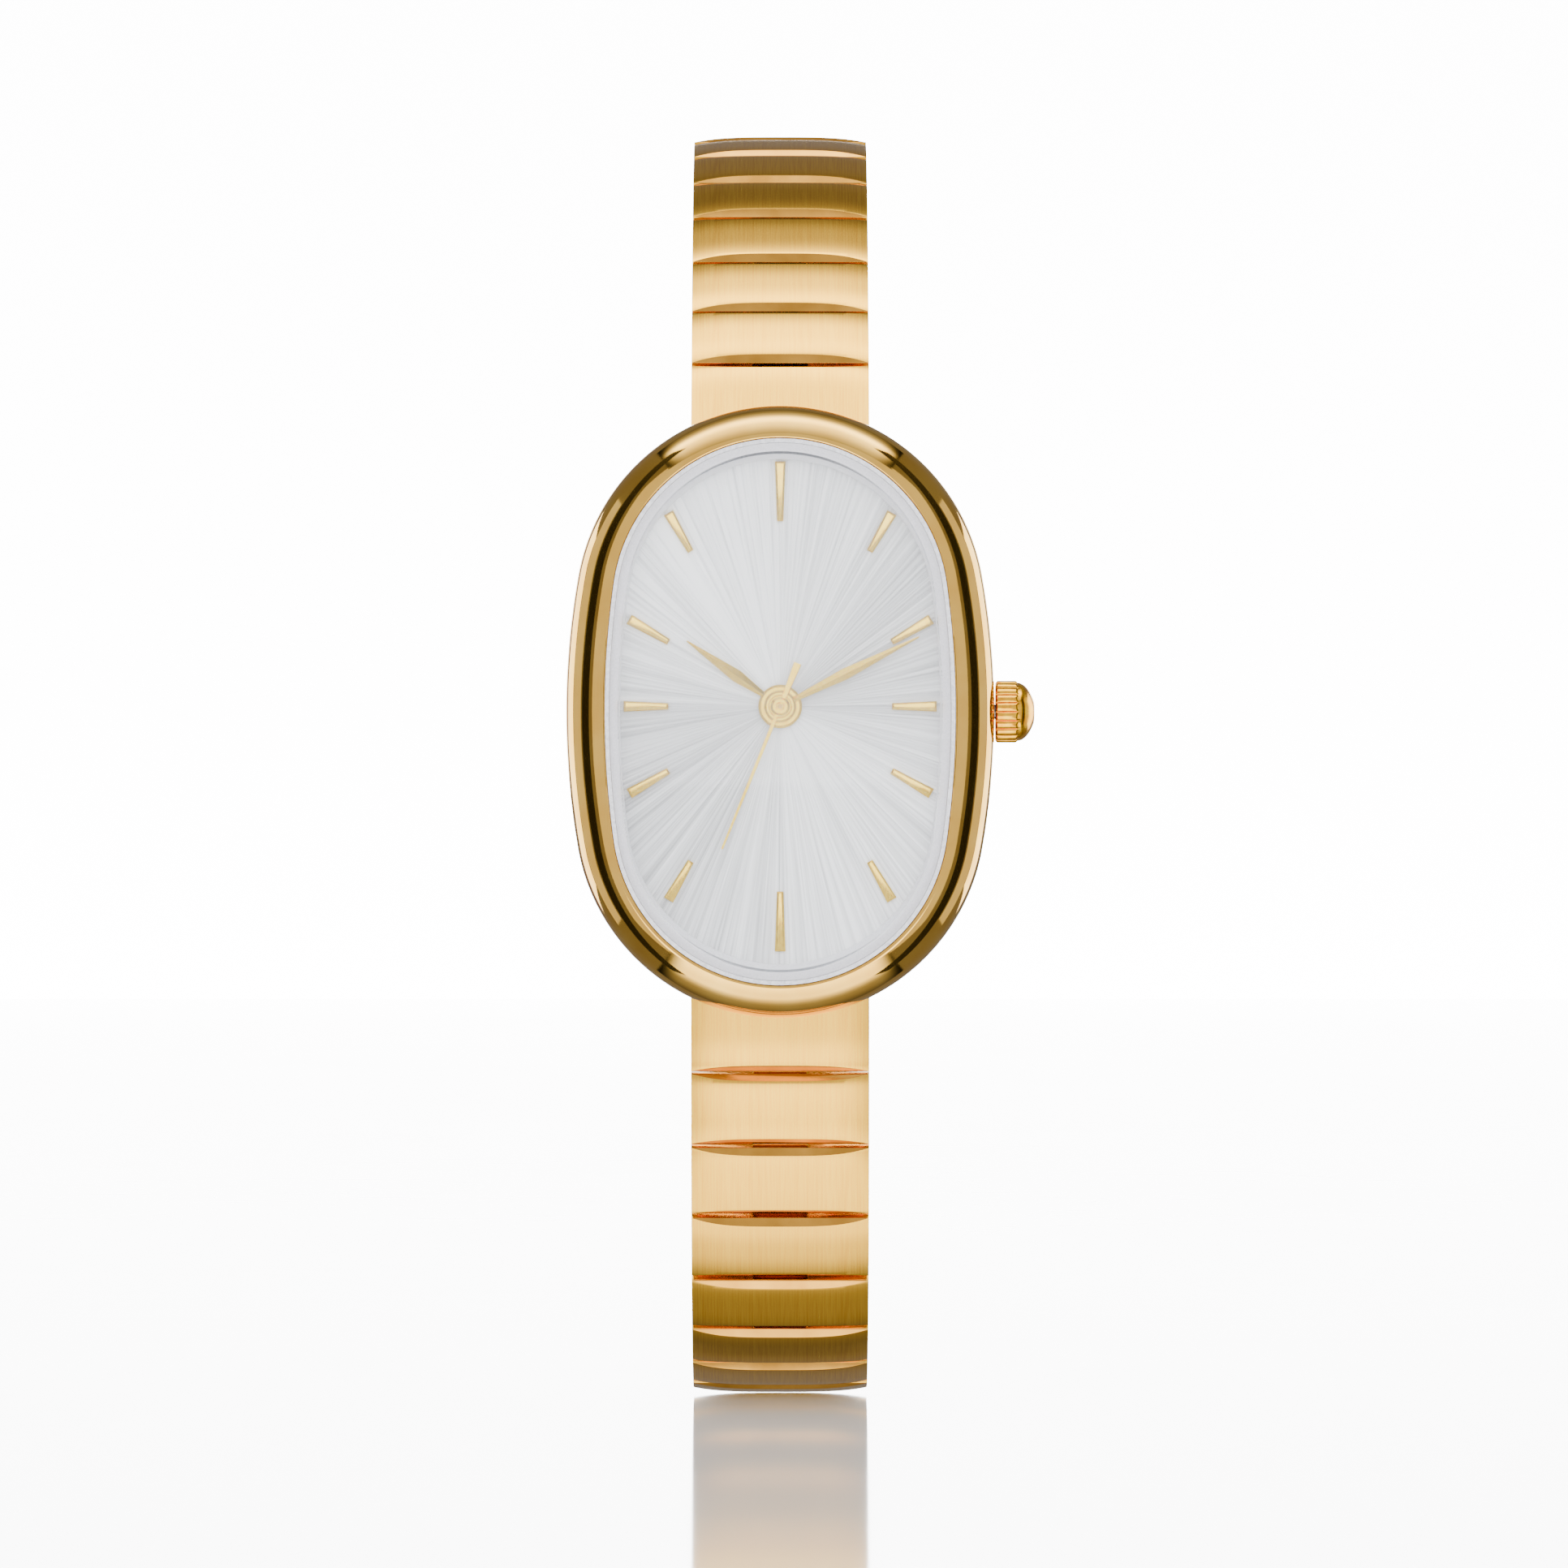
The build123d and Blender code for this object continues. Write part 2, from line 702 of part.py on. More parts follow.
def stator():
    """Soft iron plate round the rotor, with two legs to the coil core."""
    top = stator_height + stator_thickness
    middle = rotor_spot[1]
    plate = slab(
        -stator_half_width, stator_half_width, middle - stator_half_depth, middle + stator_half_depth,
        stator_height, top,
    )
    leg_end = coil_y + core_half_depth
    for side in (-1, 1):
        inner = side * (stator_half_width - stator_leg_width)
        outer = side * stator_half_width
        plate += slab(min(inner, outer), max(inner, outer), middle, leg_end, stator_height, top)
    return plate - disc(
        rotor_radius + stator_hole_gap, stator_height - overrun, top + overrun, rotor_spot, middle_sides, hole=True
    )


def coil():
    """Flat core with the fine copper winding round it, a hair apart."""
    def flat_bar(gap):
        return slab(
            -stator_half_width, stator_half_width, coil_y - core_half_depth - gap, coil_y + core_half_depth + gap,
            stator_height - core_thickness - gap, stator_height + gap,
        )

    middle = stator_height - core_thickness / 2
    plane = Plane((-coil_half_length, coil_y, middle), x_dir=(0, 1, 0), z_dir=(1, 0, 0))
    winding = extrude(plane * round_plan(coil_radius, small_sides), 2 * coil_half_length)
    return Compound(children=[flat_bar(0), winding - flat_bar(running_gap)])


# Crown, stem and setting lever

def crown():
    """Fluted winding crown with a domed end, bored for the stem."""
    points = []
    half_pitch = 360 / crown_flutes / 2
    for flute in range(crown_flutes):
        middle = 2 * flute * half_pitch
        points.append(polar(crown_radius, middle - half_pitch * flute_crest_share))
        points.append(polar(crown_radius, middle + half_pitch * flute_crest_share))
        points.append(polar(crown_radius - flute_depth, middle + half_pitch))
    knob = extrude(Plane.YZ * make_face(Polyline(*points, close=True)), crown_flute_length)
    middle_reach = crown_flute_length + crown_dome_length / 2
    middle_radius = (crown_radius + crown_end_radius) / 2 + crown_dome_bulge
    end_reach = crown_flute_length + crown_dome_length
    profile = Polyline(
        (crown_flute_length, 0), (crown_flute_length, crown_radius - flute_depth), (middle_reach, middle_radius),
        (end_reach, crown_end_radius), (end_reach, 0), close=True,
    )
    knob += revolve(make_face(profile), Axis.X)
    knob -= extrude(Plane.YZ * round_plan(stem_radius, small_sides, hole=True), end_reach - crown_wall)
    return Pos(crown_start, 0, crown_height) * knob


def stem():
    """Winding stem with the groove that the setting lever holds."""
    outer_end = crown_start + crown_flute_length + crown_dome_length - crown_wall
    shaft = cross_bar(stem_radius, stem_inner_end, outer_end)
    groove_end = stem_groove_start + stem_groove_width
    groove = cross_bar(stem_radius + overrun, stem_groove_start, groove_end)
    groove -= cross_bar(stem_groove_radius, stem_groove_start - overrun, groove_end + overrun)
    tip = cross_bar(stem_tip_radius, stem_inner_end - stem_tip_length, stem_inner_end, sides=0)
    return shaft - groove + tip


def setting_lever():
    """Forked plate that rides in the stem's groove."""
    left = stem_groove_start + running_gap
    right = stem_groove_start + stem_groove_width - running_gap
    fork = slab(left, right, -lever_width / 2, lever_width / 2, crown_height - lever_depth, crown_height)
    fork -= cross_bar(stem_groove_radius + running_gap, left - overrun, right + overrun, hole=True)
    return fork


# Strap links. Each is modelled with its near pivot at the origin, running along +Y, outer face up.

def crowned(near, far):
    """Full-width bar whose outer face is arched from side to side."""
    half = strap_width / 2
    arch = ThreePointArc((half, link_edge_top), (0, link_crown_top), (-half, link_edge_top))
    spots = [arch @ (side / arch_sides) for side in range(arch_sides + 1)]
    outline = Polyline((-half, -link_under), (half, -link_under), *spots, close=True)
    section = Pos(0, near - overrun, 0) * (Plane.XZ * make_face(outline))
    return extrude(section, far - near + 2 * overrun, dir=(0, 1, 0))


def across(outline, half=strap_width / 2):
    """Side profile spread over the strap's width."""
    return extrude(Plane.YZ * outline, half, both=True)


def bevelled_end(face, away):
    """Outline points of one end, bottom to top: set back below the pin line, bevelled above."""
    rise = link_crown_rise + overrun
    return [
        (face + away * link_set_back, -link_under), (face, 0), (face, link_edge_top),
        (face + away * link_bevel * rise / link_crown_rise, link_edge_top + rise),
    ]


def pin(radius, half, along=0.0, up=0.0, sides=small_sides, hole=False):
    """Round bar across the strap, or the room for one."""
    return across(Pos(along, up) * round_plan(radius, sides, hole), half)


def tongue(start, pivot):
    """Rounded lug that reaches into the next link and turns on its pin."""
    top = polar(tongue_radius, nose_arc / 2, (pivot, 0))
    bottom = polar(tongue_radius, -nose_arc / 2, (pivot, 0))
    nose = ThreePointArc(bottom, (pivot + tongue_radius, 0), top)
    shank = Polyline(
        top, (pivot, tongue_radius), (start, tongue_radius), (start, -tongue_radius), (pivot, -tongue_radius), bottom
    )
    lug = across(make_face([nose, shank]), tongue_width / 2)
    return lug - pin(pin_radius + running_gap, tongue_width, pivot, hole=True)


def tongue_pocket():
    """Room for the neighbour's lug, open below and at the near face."""
    start = link_near - overrun
    end = tongue_radius + loose_gap
    low = -clasp_floor_under - overrun
    plan = Pos((start + end) / 2, (low + pocket_ceiling) / 2) * Rectangle(end - start, pocket_ceiling - low)
    return across(plan, tongue_width / 2 + loose_gap)


def link_pin():
    """Pin across the pocket, one with the cheeks that hold its ends."""
    return pin(pin_radius, tongue_width / 2 + overrun)


def strap_link(with_tongue=True):
    """One link: arched, bevelled at both ends, pocket and pin at the near end, lug at the far end."""
    near_points = bevelled_end(link_near, 1)
    far_points = bevelled_end(link_far, -1)
    outline = make_face(Polyline(*near_points, *reversed(far_points), close=True))
    body = crowned(link_near, link_far) & across(outline)
    body = body - tongue_pocket() + link_pin()
    if with_tongue:
        body += tongue(link_far - link_set_back, link_pitch)
    return body


def end_link():
    """First link: a full-width knuckle on the spring bar, a lug at the far end."""
    far = end_link_length - pin_inset - link_half_gap
    shoulder = end_knuckle_radius * end_shoulder_share
    rise = link_crown_rise + overrun
    near_points = [(0, -link_under), (0, link_under), (shoulder, link_edge_top + rise)]
    outline = make_face(Polyline(*near_points, *reversed(bevelled_end(far, -1)), close=True))
    body = crowned(-end_knuckle_radius, far) & across(outline)
    body += pin(end_knuckle_radius, strap_width / 2, sides=0)
    body -= pin(spring_bar_radius + running_gap, strap_width, hole=True)
    body += tongue(far - link_set_back, end_link_length)
    return Compound(children=[body, pin(spring_bar_radius, notch_half_width + spring_bar_reach)])


def strap_pivots(tilts):
    """Pivot of each link as (depth, height), and last the point past the final link."""
    depth = -strap_pivot_height
    height = strap_pivot_up
    spots = [(depth, height)]
    for place, tilt in enumerate(tilts):
        length = end_link_length if place == 0 else link_pitch
        depth += length * math.sin(math.radians(tilt))
        height += length * math.cos(math.radians(tilt))
        spots.append((depth, height))
    return spots


def on_strap(shape, spot, tilt, upper):
    """Move a link to its pivot and tilt; the lower half is the upper one turned about the Y axis."""
    placed = Pos(0, spot[0], spot[1]) * Rot(90 - tilt, 0, 0) * shape
    return placed if upper else Rot(0, 180, 0) * placed


# Clasp, in the same local frame as a link, curved on an arc between its two end pivots

upper_spots = strap_pivots(upper_tilts)
lower_spots = strap_pivots(lower_tilts)
clasp_start = upper_spots[-1]
catch_tilt = math.radians(lower_tilts[-1])
catch_reach = link_far + part_gap
clasp_end = (
    lower_spots[-2][0] + catch_reach * math.sin(catch_tilt),
    -(lower_spots[-2][1] + catch_reach * math.cos(catch_tilt)),
)
clasp_chord = math.dist(clasp_start, clasp_end)
clasp_tilt = math.degrees(math.atan2(clasp_end[0] - clasp_start[0], clasp_end[1] - clasp_start[1]))
clasp_radius = clasp_chord / (2 * math.sin(math.radians(clasp_arc / 2)))


def clasp_point(along, up):
    """Point of the clasp's side view at a distance along its arc and above it."""
    turn = along / clasp_radius - math.radians(clasp_arc / 2)
    drop = clasp_radius * math.cos(math.radians(clasp_arc / 2))
    reach = clasp_radius + up
    return (clasp_chord / 2 + reach * math.sin(turn), reach * math.cos(turn) - drop)


def clasp_band(start, end, low, high, half=strap_width / 2):
    """Curved bar between two places along the arc and two levels, centred across the strap."""
    middle = (start + end) / 2
    outline = [
        ThreePointArc(clasp_point(start, low), clasp_point(middle, low), clasp_point(end, low)),
        Line(clasp_point(end, low), clasp_point(end, high)),
        ThreePointArc(clasp_point(end, high), clasp_point(middle, high), clasp_point(start, high)),
        Line(clasp_point(start, high), clasp_point(start, low)),
    ]
    return extrude(Plane.YZ * make_face(outline), half, both=True)


clasp_length = clasp_radius * math.radians(clasp_arc)
clasp_inner_half = strap_width / 2 - clasp_wall
flap_low = clasp_wall_top + loose_gap
flap_pivot_up = clasp_wall_top - flap_knuckle_radius / 2
flap_pivot = clasp_point(flap_pivot_along, flap_pivot_up)
catch_bar_spot = clasp_point(clasp_length - catch_bar_back, flap_low - catch_tab_depth + catch_bar_radius)


def clasp_body():
    """Curved channel with solid ends, hinge ears for the flap and the catch bar."""
    floor_top = clasp_floor - clasp_floor_under
    body = clasp_band(link_near + link_set_back, clasp_length - link_set_back, -clasp_floor_under, floor_top)
    body += clasp_band(link_near, clasp_length, -clasp_wall_top / 2, clasp_wall_top)
    body += clasp_band(0, clasp_length - link_set_back, -clasp_floor_under, clasp_wall_top)
    hollow_start = clasp_end_block
    hollow_end = clasp_length - clasp_end_block
    body -= clasp_band(hollow_start, hollow_end, floor_top, clasp_wall_top + overrun, clasp_inner_half)
    ear_start = clasp_inner_half - clasp_wall
    body += pin(flap_knuckle_radius, strap_width / 2, *flap_pivot, middle_sides)
    body -= pin(flap_knuckle_radius + loose_gap, ear_start, *flap_pivot, middle_sides, hole=True)
    body = body - tongue_pocket() + link_pin()
    body += pin(catch_bar_radius, clasp_inner_half + overrun / 2, *catch_bar_spot)
    return body + pin(flap_pin_radius, ear_start + overrun / 2, *flap_pivot)


def clasp_flap():
    """Curved cover on the hinge pin, with the tab that snaps behind the catch bar."""
    start = flap_pivot_along + flap_knuckle_radius + part_gap
    high = flap_low + flap_thickness
    cover = clasp_band(start, clasp_length - flap_end_lip, flap_low, high)
    cover += clasp_band(flap_pivot_along, start + overrun, flap_low, high, flap_knuckle_width / 2)
    cover += pin(flap_knuckle_radius, flap_knuckle_width / 2, *flap_pivot, 0)
    cover -= pin(flap_pin_radius + running_gap, strap_width, *flap_pivot, hole=True)
    tab_start = clasp_length - catch_bar_back + catch_bar_radius + loose_gap
    cover += clasp_band(
        tab_start, tab_start + catch_tab_thickness, flap_low - catch_tab_depth, flap_low + overrun / 2,
        clasp_inner_half / 2,
    )
    return cover


def build():
    """Every named piece at rest, in the watch's frame."""
    pieces = {
        "case_body": head(case_body()),
        "case_back": head(case_back()),
        "case_back_gasket": head(case_back_gasket()),
        "crystal": head(crystal()),
        "crystal_gasket": head(crystal_gasket()),
        "dial_ring": head(dial_ring()),
        "dial": head(dial()),
        "hour_markers": head(hour_markers()),
        "hour_hand": head(hour_hand()),
        "minute_hand": head(minute_hand()),
        "second_hand": head(second_hand()),
        "main_plate": head(main_plate()),
        "train_bridge": head(train_bridge()),
        "movement_holder": head(movement_holder()),
        "battery": head(battery()),
        "circuit_board": head(circuit_board()),
        "stator": head(stator()),
        "coil": head(coil()),
        "rotor": head(rotor()),
        "intermediate_wheel": head(intermediate_wheel()),
        "second_wheel": head(second_wheel()),
        "third_wheel": head(third_wheel()),
        "centre_wheel": head(centre_wheel()),
        "cannon_pinion": head(cannon_pinion()),
        "minute_wheel": head(minute_wheel()),
        "hour_wheel": head(hour_wheel()),
        "crown": head(crown()),
        "stem": head(stem()),
        "setting_lever": head(setting_lever()),
    }
    first = end_link()
    link = strap_link()
    pieces["upper_end_link"] = on_strap(first, upper_spots[0], upper_tilts[0], True)
    pieces["lower_end_link"] = on_strap(first, lower_spots[0], lower_tilts[0], False)
    for place in range(1, len(upper_tilts)):
        pieces[f"upper_link_{place:02d}"] = on_strap(link, upper_spots[place], upper_tilts[place], True)
    for place in range(1, len(lower_tilts) - 1):
        pieces[f"lower_link_{place:02d}"] = on_strap(link, lower_spots[place], lower_tilts[place], False)
    pieces["catch_link"] = on_strap(strap_link(False), lower_spots[-2], lower_tilts[-1], False)
    pieces["clasp_body"] = on_strap(clasp_body(), clasp_start, clasp_tilt, True)
    pieces["clasp_flap"] = on_strap(clasp_flap(), clasp_start, clasp_tilt, True)
    return pieces


os.makedirs("parts", exist_ok=True)
for name, piece in build().items():
    piece.label = name
    export_step(piece, f"parts/{name}.step")
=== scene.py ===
"""Dresses the oval bracelet watch: gold-coloured case, glass, dial, hands, crown, links and clasp."""

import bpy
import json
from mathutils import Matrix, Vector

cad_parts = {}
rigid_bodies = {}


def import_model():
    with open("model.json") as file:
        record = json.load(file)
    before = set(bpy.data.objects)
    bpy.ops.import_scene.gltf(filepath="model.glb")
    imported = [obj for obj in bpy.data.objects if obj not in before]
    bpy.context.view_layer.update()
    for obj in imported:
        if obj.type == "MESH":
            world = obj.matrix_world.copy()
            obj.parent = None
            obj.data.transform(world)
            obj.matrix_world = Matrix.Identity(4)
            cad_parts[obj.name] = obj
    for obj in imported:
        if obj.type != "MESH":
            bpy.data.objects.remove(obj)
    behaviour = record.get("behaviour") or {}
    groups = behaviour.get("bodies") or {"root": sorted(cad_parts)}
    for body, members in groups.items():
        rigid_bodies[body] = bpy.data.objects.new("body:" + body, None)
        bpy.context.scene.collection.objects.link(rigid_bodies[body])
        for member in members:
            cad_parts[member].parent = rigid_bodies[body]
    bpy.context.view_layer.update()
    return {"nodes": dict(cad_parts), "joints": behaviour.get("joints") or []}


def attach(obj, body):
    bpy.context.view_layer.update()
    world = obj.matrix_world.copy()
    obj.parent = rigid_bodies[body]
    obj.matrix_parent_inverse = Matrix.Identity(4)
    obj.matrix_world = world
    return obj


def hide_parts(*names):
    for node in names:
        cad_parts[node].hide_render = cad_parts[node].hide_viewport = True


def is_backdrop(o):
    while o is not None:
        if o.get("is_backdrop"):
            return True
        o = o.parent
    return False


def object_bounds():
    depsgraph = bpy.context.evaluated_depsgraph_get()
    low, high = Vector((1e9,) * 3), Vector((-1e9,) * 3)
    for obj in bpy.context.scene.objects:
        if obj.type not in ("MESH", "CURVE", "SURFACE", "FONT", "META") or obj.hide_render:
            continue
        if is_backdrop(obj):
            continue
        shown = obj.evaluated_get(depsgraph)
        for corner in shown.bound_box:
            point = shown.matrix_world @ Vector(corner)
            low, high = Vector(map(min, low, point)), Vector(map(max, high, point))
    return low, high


bl_info = {
    "name": "Oval Bracelet Watch",
    "version": (1, 0, 0),
    "blender": (4, 5, 0),
    "location": "View3D > Sidebar > Watch",
    "description": "Builds the finished pieces of an oval bracelet watch round its packed solids",
    "category": "Object",
}

import json
import math

import bmesh
import bpy
from mathutils import Matrix, Vector

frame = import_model()
nodes = frame["nodes"]
joints = {joint["child"]: joint for joint in frame["joints"]}
MM = 0.001

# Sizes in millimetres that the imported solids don't state; an oval is its half width and half length
CASE_OVAL = (12.0, 17.15)
OPENING_OVAL = (9.8, 15.27)
CHAMBER_OVAL = (9.4, 14.85)
CAVITY_OVAL = (8.9, 12.0)
WINDOW_OVAL = (8.95, 14.1)
CREST = 6.6
SPLIT_LEVEL = 3.6
DIAL_SEAT = 4.0
DIAL_TOP = 4.35
DIAL_CENTRE = Vector((0.0, 0.3))
GLASS_SEAT = 5.7
GLASS_TOP = 6.85
GLASS_INSET = 0.27
GLASS_BEVEL_DROP = 0.28
GLASS_ROUND = 0.03
GLASS_FACE_ROUND = (0.02, 0.012)
PACKING_HEIGHT = 0.8
RING_CLEARANCE = 0.02
RING_SLOPE = 0.3
RING_ROUND = 0.04
RING_LIP = 0.34
MARKER_ROUND = 0.02
BACK_ROUND = 0.04
CLASP_ROUND = 0.05
WELD = 0.002
RIDGE = 0.2
RIDGE_END = 0.16
FLANK_RISE = 0.05
BLADE_ROOT_HALF = 0.13
POINT_LENGTH = 0.05
POINT_HALF = 0.012
SECOND_RISE = 0.12
SECOND_TIP_HALF = 0.065
CROWN_START = 12.06
CROWN_HEIGHT = 2.6
CROWN_CAP_START = 1.27
CROWN_CAP_INSET = 0.12
CROWN_CAP_LENGTH = 0.93
CROWN_CAP_FALL = 1.1
LINK_PITCH = 4.1
END_LINK_LENGTH = 6.03
PIN_INSET = 0.45
PIN_RADIUS = 0.25
PIN_HOLE_RADIUS = 0.27
PIN_BITE = 0.3
POCKET_SLACK = 0.05
POCKET_REACH = 0.55
POCKET_TOP = 0.68
POCKET_OVERRUN = 0.5
BORE_OVERRUN = 1.0
LUG_RADIUS = 0.5
KNUCKLE_RADIUS = 0.95
SPRING_BAR_RADIUS = 0.4
SPRING_BAR_HALF = 6.5
HALF_GAP = 0.04
LINK_UNDER = 0.6
LINK_CUT_UNDER = 1.4
END_LINK_START = -0.2
END_CUT_LEVEL = 0.6
EDGE_TOP = 0.85
CROWN_RISE = 0.3
SET_BACK = 0.3
LINK_FALL = 0.12

# Each hand's level and its angle from twelve. Its shape: root, start of the taper, share of the way to the
# widest place, half width near the tip, radius and bore of the hub
HOUR_PLACE = (4.74, 305.0)
HOUR_SHAPE = (0.95, 1.02, 0.36, 0.045, (1.22, 0.55))
MINUTE_PLACE = (5.03, 63.4)
MINUTE_SHAPE = (0.68, 0.7, 0.42, 0.04, (0.9, 0.42))
SECOND_PLACE = (5.32, 202.2)
# The second hand's (reach, half width) up to its tip, and its hub's (radius, rise)
SECOND_STATIONS = ((-2.6, 0.22), (-2.54, 0.23), (0, 0.12))
SECOND_HUB = ((0.14, 0.0), (0.55, 0.0), (0.55, 0.06), (0.4, 0.26), (0.24, 0.26), (0.2, 0.04), (0.14, 0.04))
# The crown's ribbed part: (place along, inset, share of the full groove)
CROWN_STATIONS = ((0.0, 0.2, 0), (0.03, 0.1, 0.3), (0.12, 0, 1), (0.6, 0, 1), (1.13, 0, 1), (1.22, 0.06, 0.4))

# Shares, powers and turns
END_ARC_SHARE = 0.958
END_POINT_SHARE = 0.36
FLANK_POINT_SHARE = 0.14
FLAT_ANGLE = math.radians(0.5)
FLANK_SHARE = 0.92
SECOND_TOP_SHARE = 0.8
HUB_SIDE = 0.3  # shares of a hub's rise: straight side, chamfer and depth of the groove
HUB_CHAMFER = 0.7
HUB_GROOVE_DEPTH = 0.3
HUB_GROOVE = (0.72, 0.68, 0.6, 0.56)  # the groove's radii, as shares of the hub's
LIP_SHARES = (0.4, 0.8, 1.0)
RIM_LEAN = 0.97  # faces of the glass that lean more than this are ground
SHEEN_TURN = 2.4  # turns the dial's painted highlight and painted shade, two bright and two dark fans, in radians
RIB_STEPS = 12
RIB_POWER = 0.45
CAP_STEPS = 8
CAP_TURN = math.radians(52)
LINK_STATIONS = 16
LINK_STEPS = 32
LUG_STEPS = 16
SET_BACK_SLOPE = 2
END_CUT_NORMAL = (0, -0.85, 0.63)
END_CURVE = 3.0  # power of a link's fall towards its ends
SIDE_CURVE = 3.5  # power of its fall towards its sides


# Small tools

def linear(code):
    """sRGB hex to the linear colour that a shader takes."""
    parts = [int(code[place:place + 2], 16) / 255 for place in (1, 3, 5)]
    return tuple(p / 12.92 if p <= 0.04045 else ((p + 0.055) / 1.055) ** 2.4 for p in parts) + (1.0,)


def add(tree, kind, inputs=None, **settings):
    """Add a shader node with its settings, and values or links for its inputs."""
    item = tree.nodes.new(kind)
    for key, value in settings.items():
        setattr(item, key, value)
    for key, value in (inputs or {}).items():
        if isinstance(value, bpy.types.NodeSocket):
            tree.links.new(value, item.inputs[key])
        else:
            item.inputs[key].default_value = value
    return item


def new_material(name, uv_map=None):
    """Empty material; returns it with its nodes and its coordinates, the object's own or a UV map's."""
    material = bpy.data.materials.new(name)
    material.use_nodes = True
    tree = material.node_tree
    tree.nodes.clear()
    if uv_map:
        return material, tree, add(tree, "ShaderNodeUVMap", uv_map=uv_map).outputs["UV"]
    return material, tree, add(tree, "ShaderNodeTexCoord").outputs["Object"]


def finish_material(tree, colour, metallic, rough, normal=None, **extra):
    """Close a material with the surface shader; colour and rough may be sockets."""
    inputs = {"Base Color": colour, "Metallic": metallic, "Roughness": rough}
    if normal is not None:
        inputs["Normal"] = normal
    inputs.update(extra)
    shader = add(tree, "ShaderNodeBsdfPrincipled", inputs)
    add(tree, "ShaderNodeOutputMaterial", {"Surface": shader.outputs["BSDF"]})
    return shader


def compute(tree, operation, *values):
    """Result of a math node."""
    return add(tree, "ShaderNodeMath", dict(enumerate(values)), operation=operation).outputs["Value"]


def fade(tree, value, places, strengths):
    """Smooth change from one strength to another between two places."""
    inputs = {"Value": value, "From Min": places[0], "From Max": places[1]}
    inputs |= {"To Min": strengths[0], "To Max": strengths[1]}
    return add(tree, "ShaderNodeMapRange", inputs, interpolation_type="SMOOTHSTEP").outputs["Result"]


def spread(tree, value, low, high):
    """Stretch a 0 to 1 pattern between two numbers."""
    return add(tree, "ShaderNodeMapRange", {"Value": value, "To Min": low, "To Max": high}).outputs["Result"]


def tint(tree, value, low, high, start=0.3, end=0.7):
    """Colour ramp between two hex colours."""
    ramp = add(tree, "ShaderNodeValToRGB", {"Fac": value})
    ramp.color_ramp.elements[0].position = start
    ramp.color_ramp.elements[0].color = linear(low)
    ramp.color_ramp.elements[1].position = end
    ramp.color_ramp.elements[1].color = linear(high)
    return ramp.outputs["Color"]


def dent(tree, height, strength, depth):
    """Bump from a pattern, its depth in millimetres."""
    inputs = {"Height": height, "Strength": strength, "Distance": depth * MM}
    return add(tree, "ShaderNodeBump", inputs).outputs["Normal"]


def grain(tree, coordinate, scale, detail=2.0, rough=0.5):
    """Noise, its scale in cycles per metre of the coordinate."""
    inputs = {"Vector": coordinate, "Scale": scale, "Detail": detail, "Roughness": rough}
    return add(tree, "ShaderNodeTexNoise", inputs).outputs["Fac"]


def stretch(tree, coordinate, scale):
    """Coordinates scaled by three numbers."""
    return add(tree, "ShaderNodeMapping", {"Vector": coordinate, "Scale": scale}).outputs["Vector"]


# Materials

def grained(name, low, high, metallic, rough, size, bump=0.08, depth=0.006, detail=3.0, along=None, **extra):
    """Finish from one pattern: two colours, roughness range, pattern size and bump depth in millimetres."""
    material, tree, place = new_material(name)
    if along:
        place = stretch(tree, place, along)
    pattern = grain(tree, place, 1 / (size * MM), detail)
    finish_material(
        tree, tint(tree, pattern, low, high), metallic, spread(tree, pattern, *rough),
        dent(tree, pattern, bump, depth), **extra,
    )
    return material


def polished_gold_plate(name, dark, colour, base_rough):
    """Buffed and plated: a warm mirror with hairlines of 0.09 mm and slight haze where it is handled."""
    material, tree, place = new_material(name)
    haze = grain(tree, place, 1 / (2.2 * MM), 3.0)
    hairline = grain(tree, stretch(tree, place, (1.0, 1.0, 0.12)), 1 / (0.09 * MM), 2.0)
    rough = spread(tree, haze, base_rough * 0.8, base_rough * 1.35)
    finish_material(tree, tint(tree, haze, dark, colour), 1.0, rough, dent(tree, hairline, 0.05, 0.004))
    return material


def brushed_gold_steel():
    """Belt-brushed along the strap: streaks, drawn 0.08 mm wide so that they show, under a soft sheen."""
    material, tree, place = new_material("brushed gold-coloured steel", "brushing")
    streak = grain(tree, stretch(tree, place, (1 / 0.08, 1 / 4.0, 1.0)), 1.0, 3.0, 0.6)
    broad = grain(tree, stretch(tree, place, (1 / 0.9, 1 / 9.0, 1.0)), 1.0, 2.0)
    both = compute(tree, "MULTIPLY", streak, broad)
    tone = tint(tree, streak, "#E0A02C", "#F8BF3C", 0.2, 0.65)
    tangent = add(tree, "ShaderNodeTangent", direction_type="UV_MAP", uv_map="brushing").outputs["Tangent"]
    finish_material(
        tree, tone, 1.0, spread(tree, both, 0.2, 0.36), dent(tree, streak, 0.12, 0.006),
        **{"Anisotropic": 0.8, "Tangent": tangent},
    )
    return material


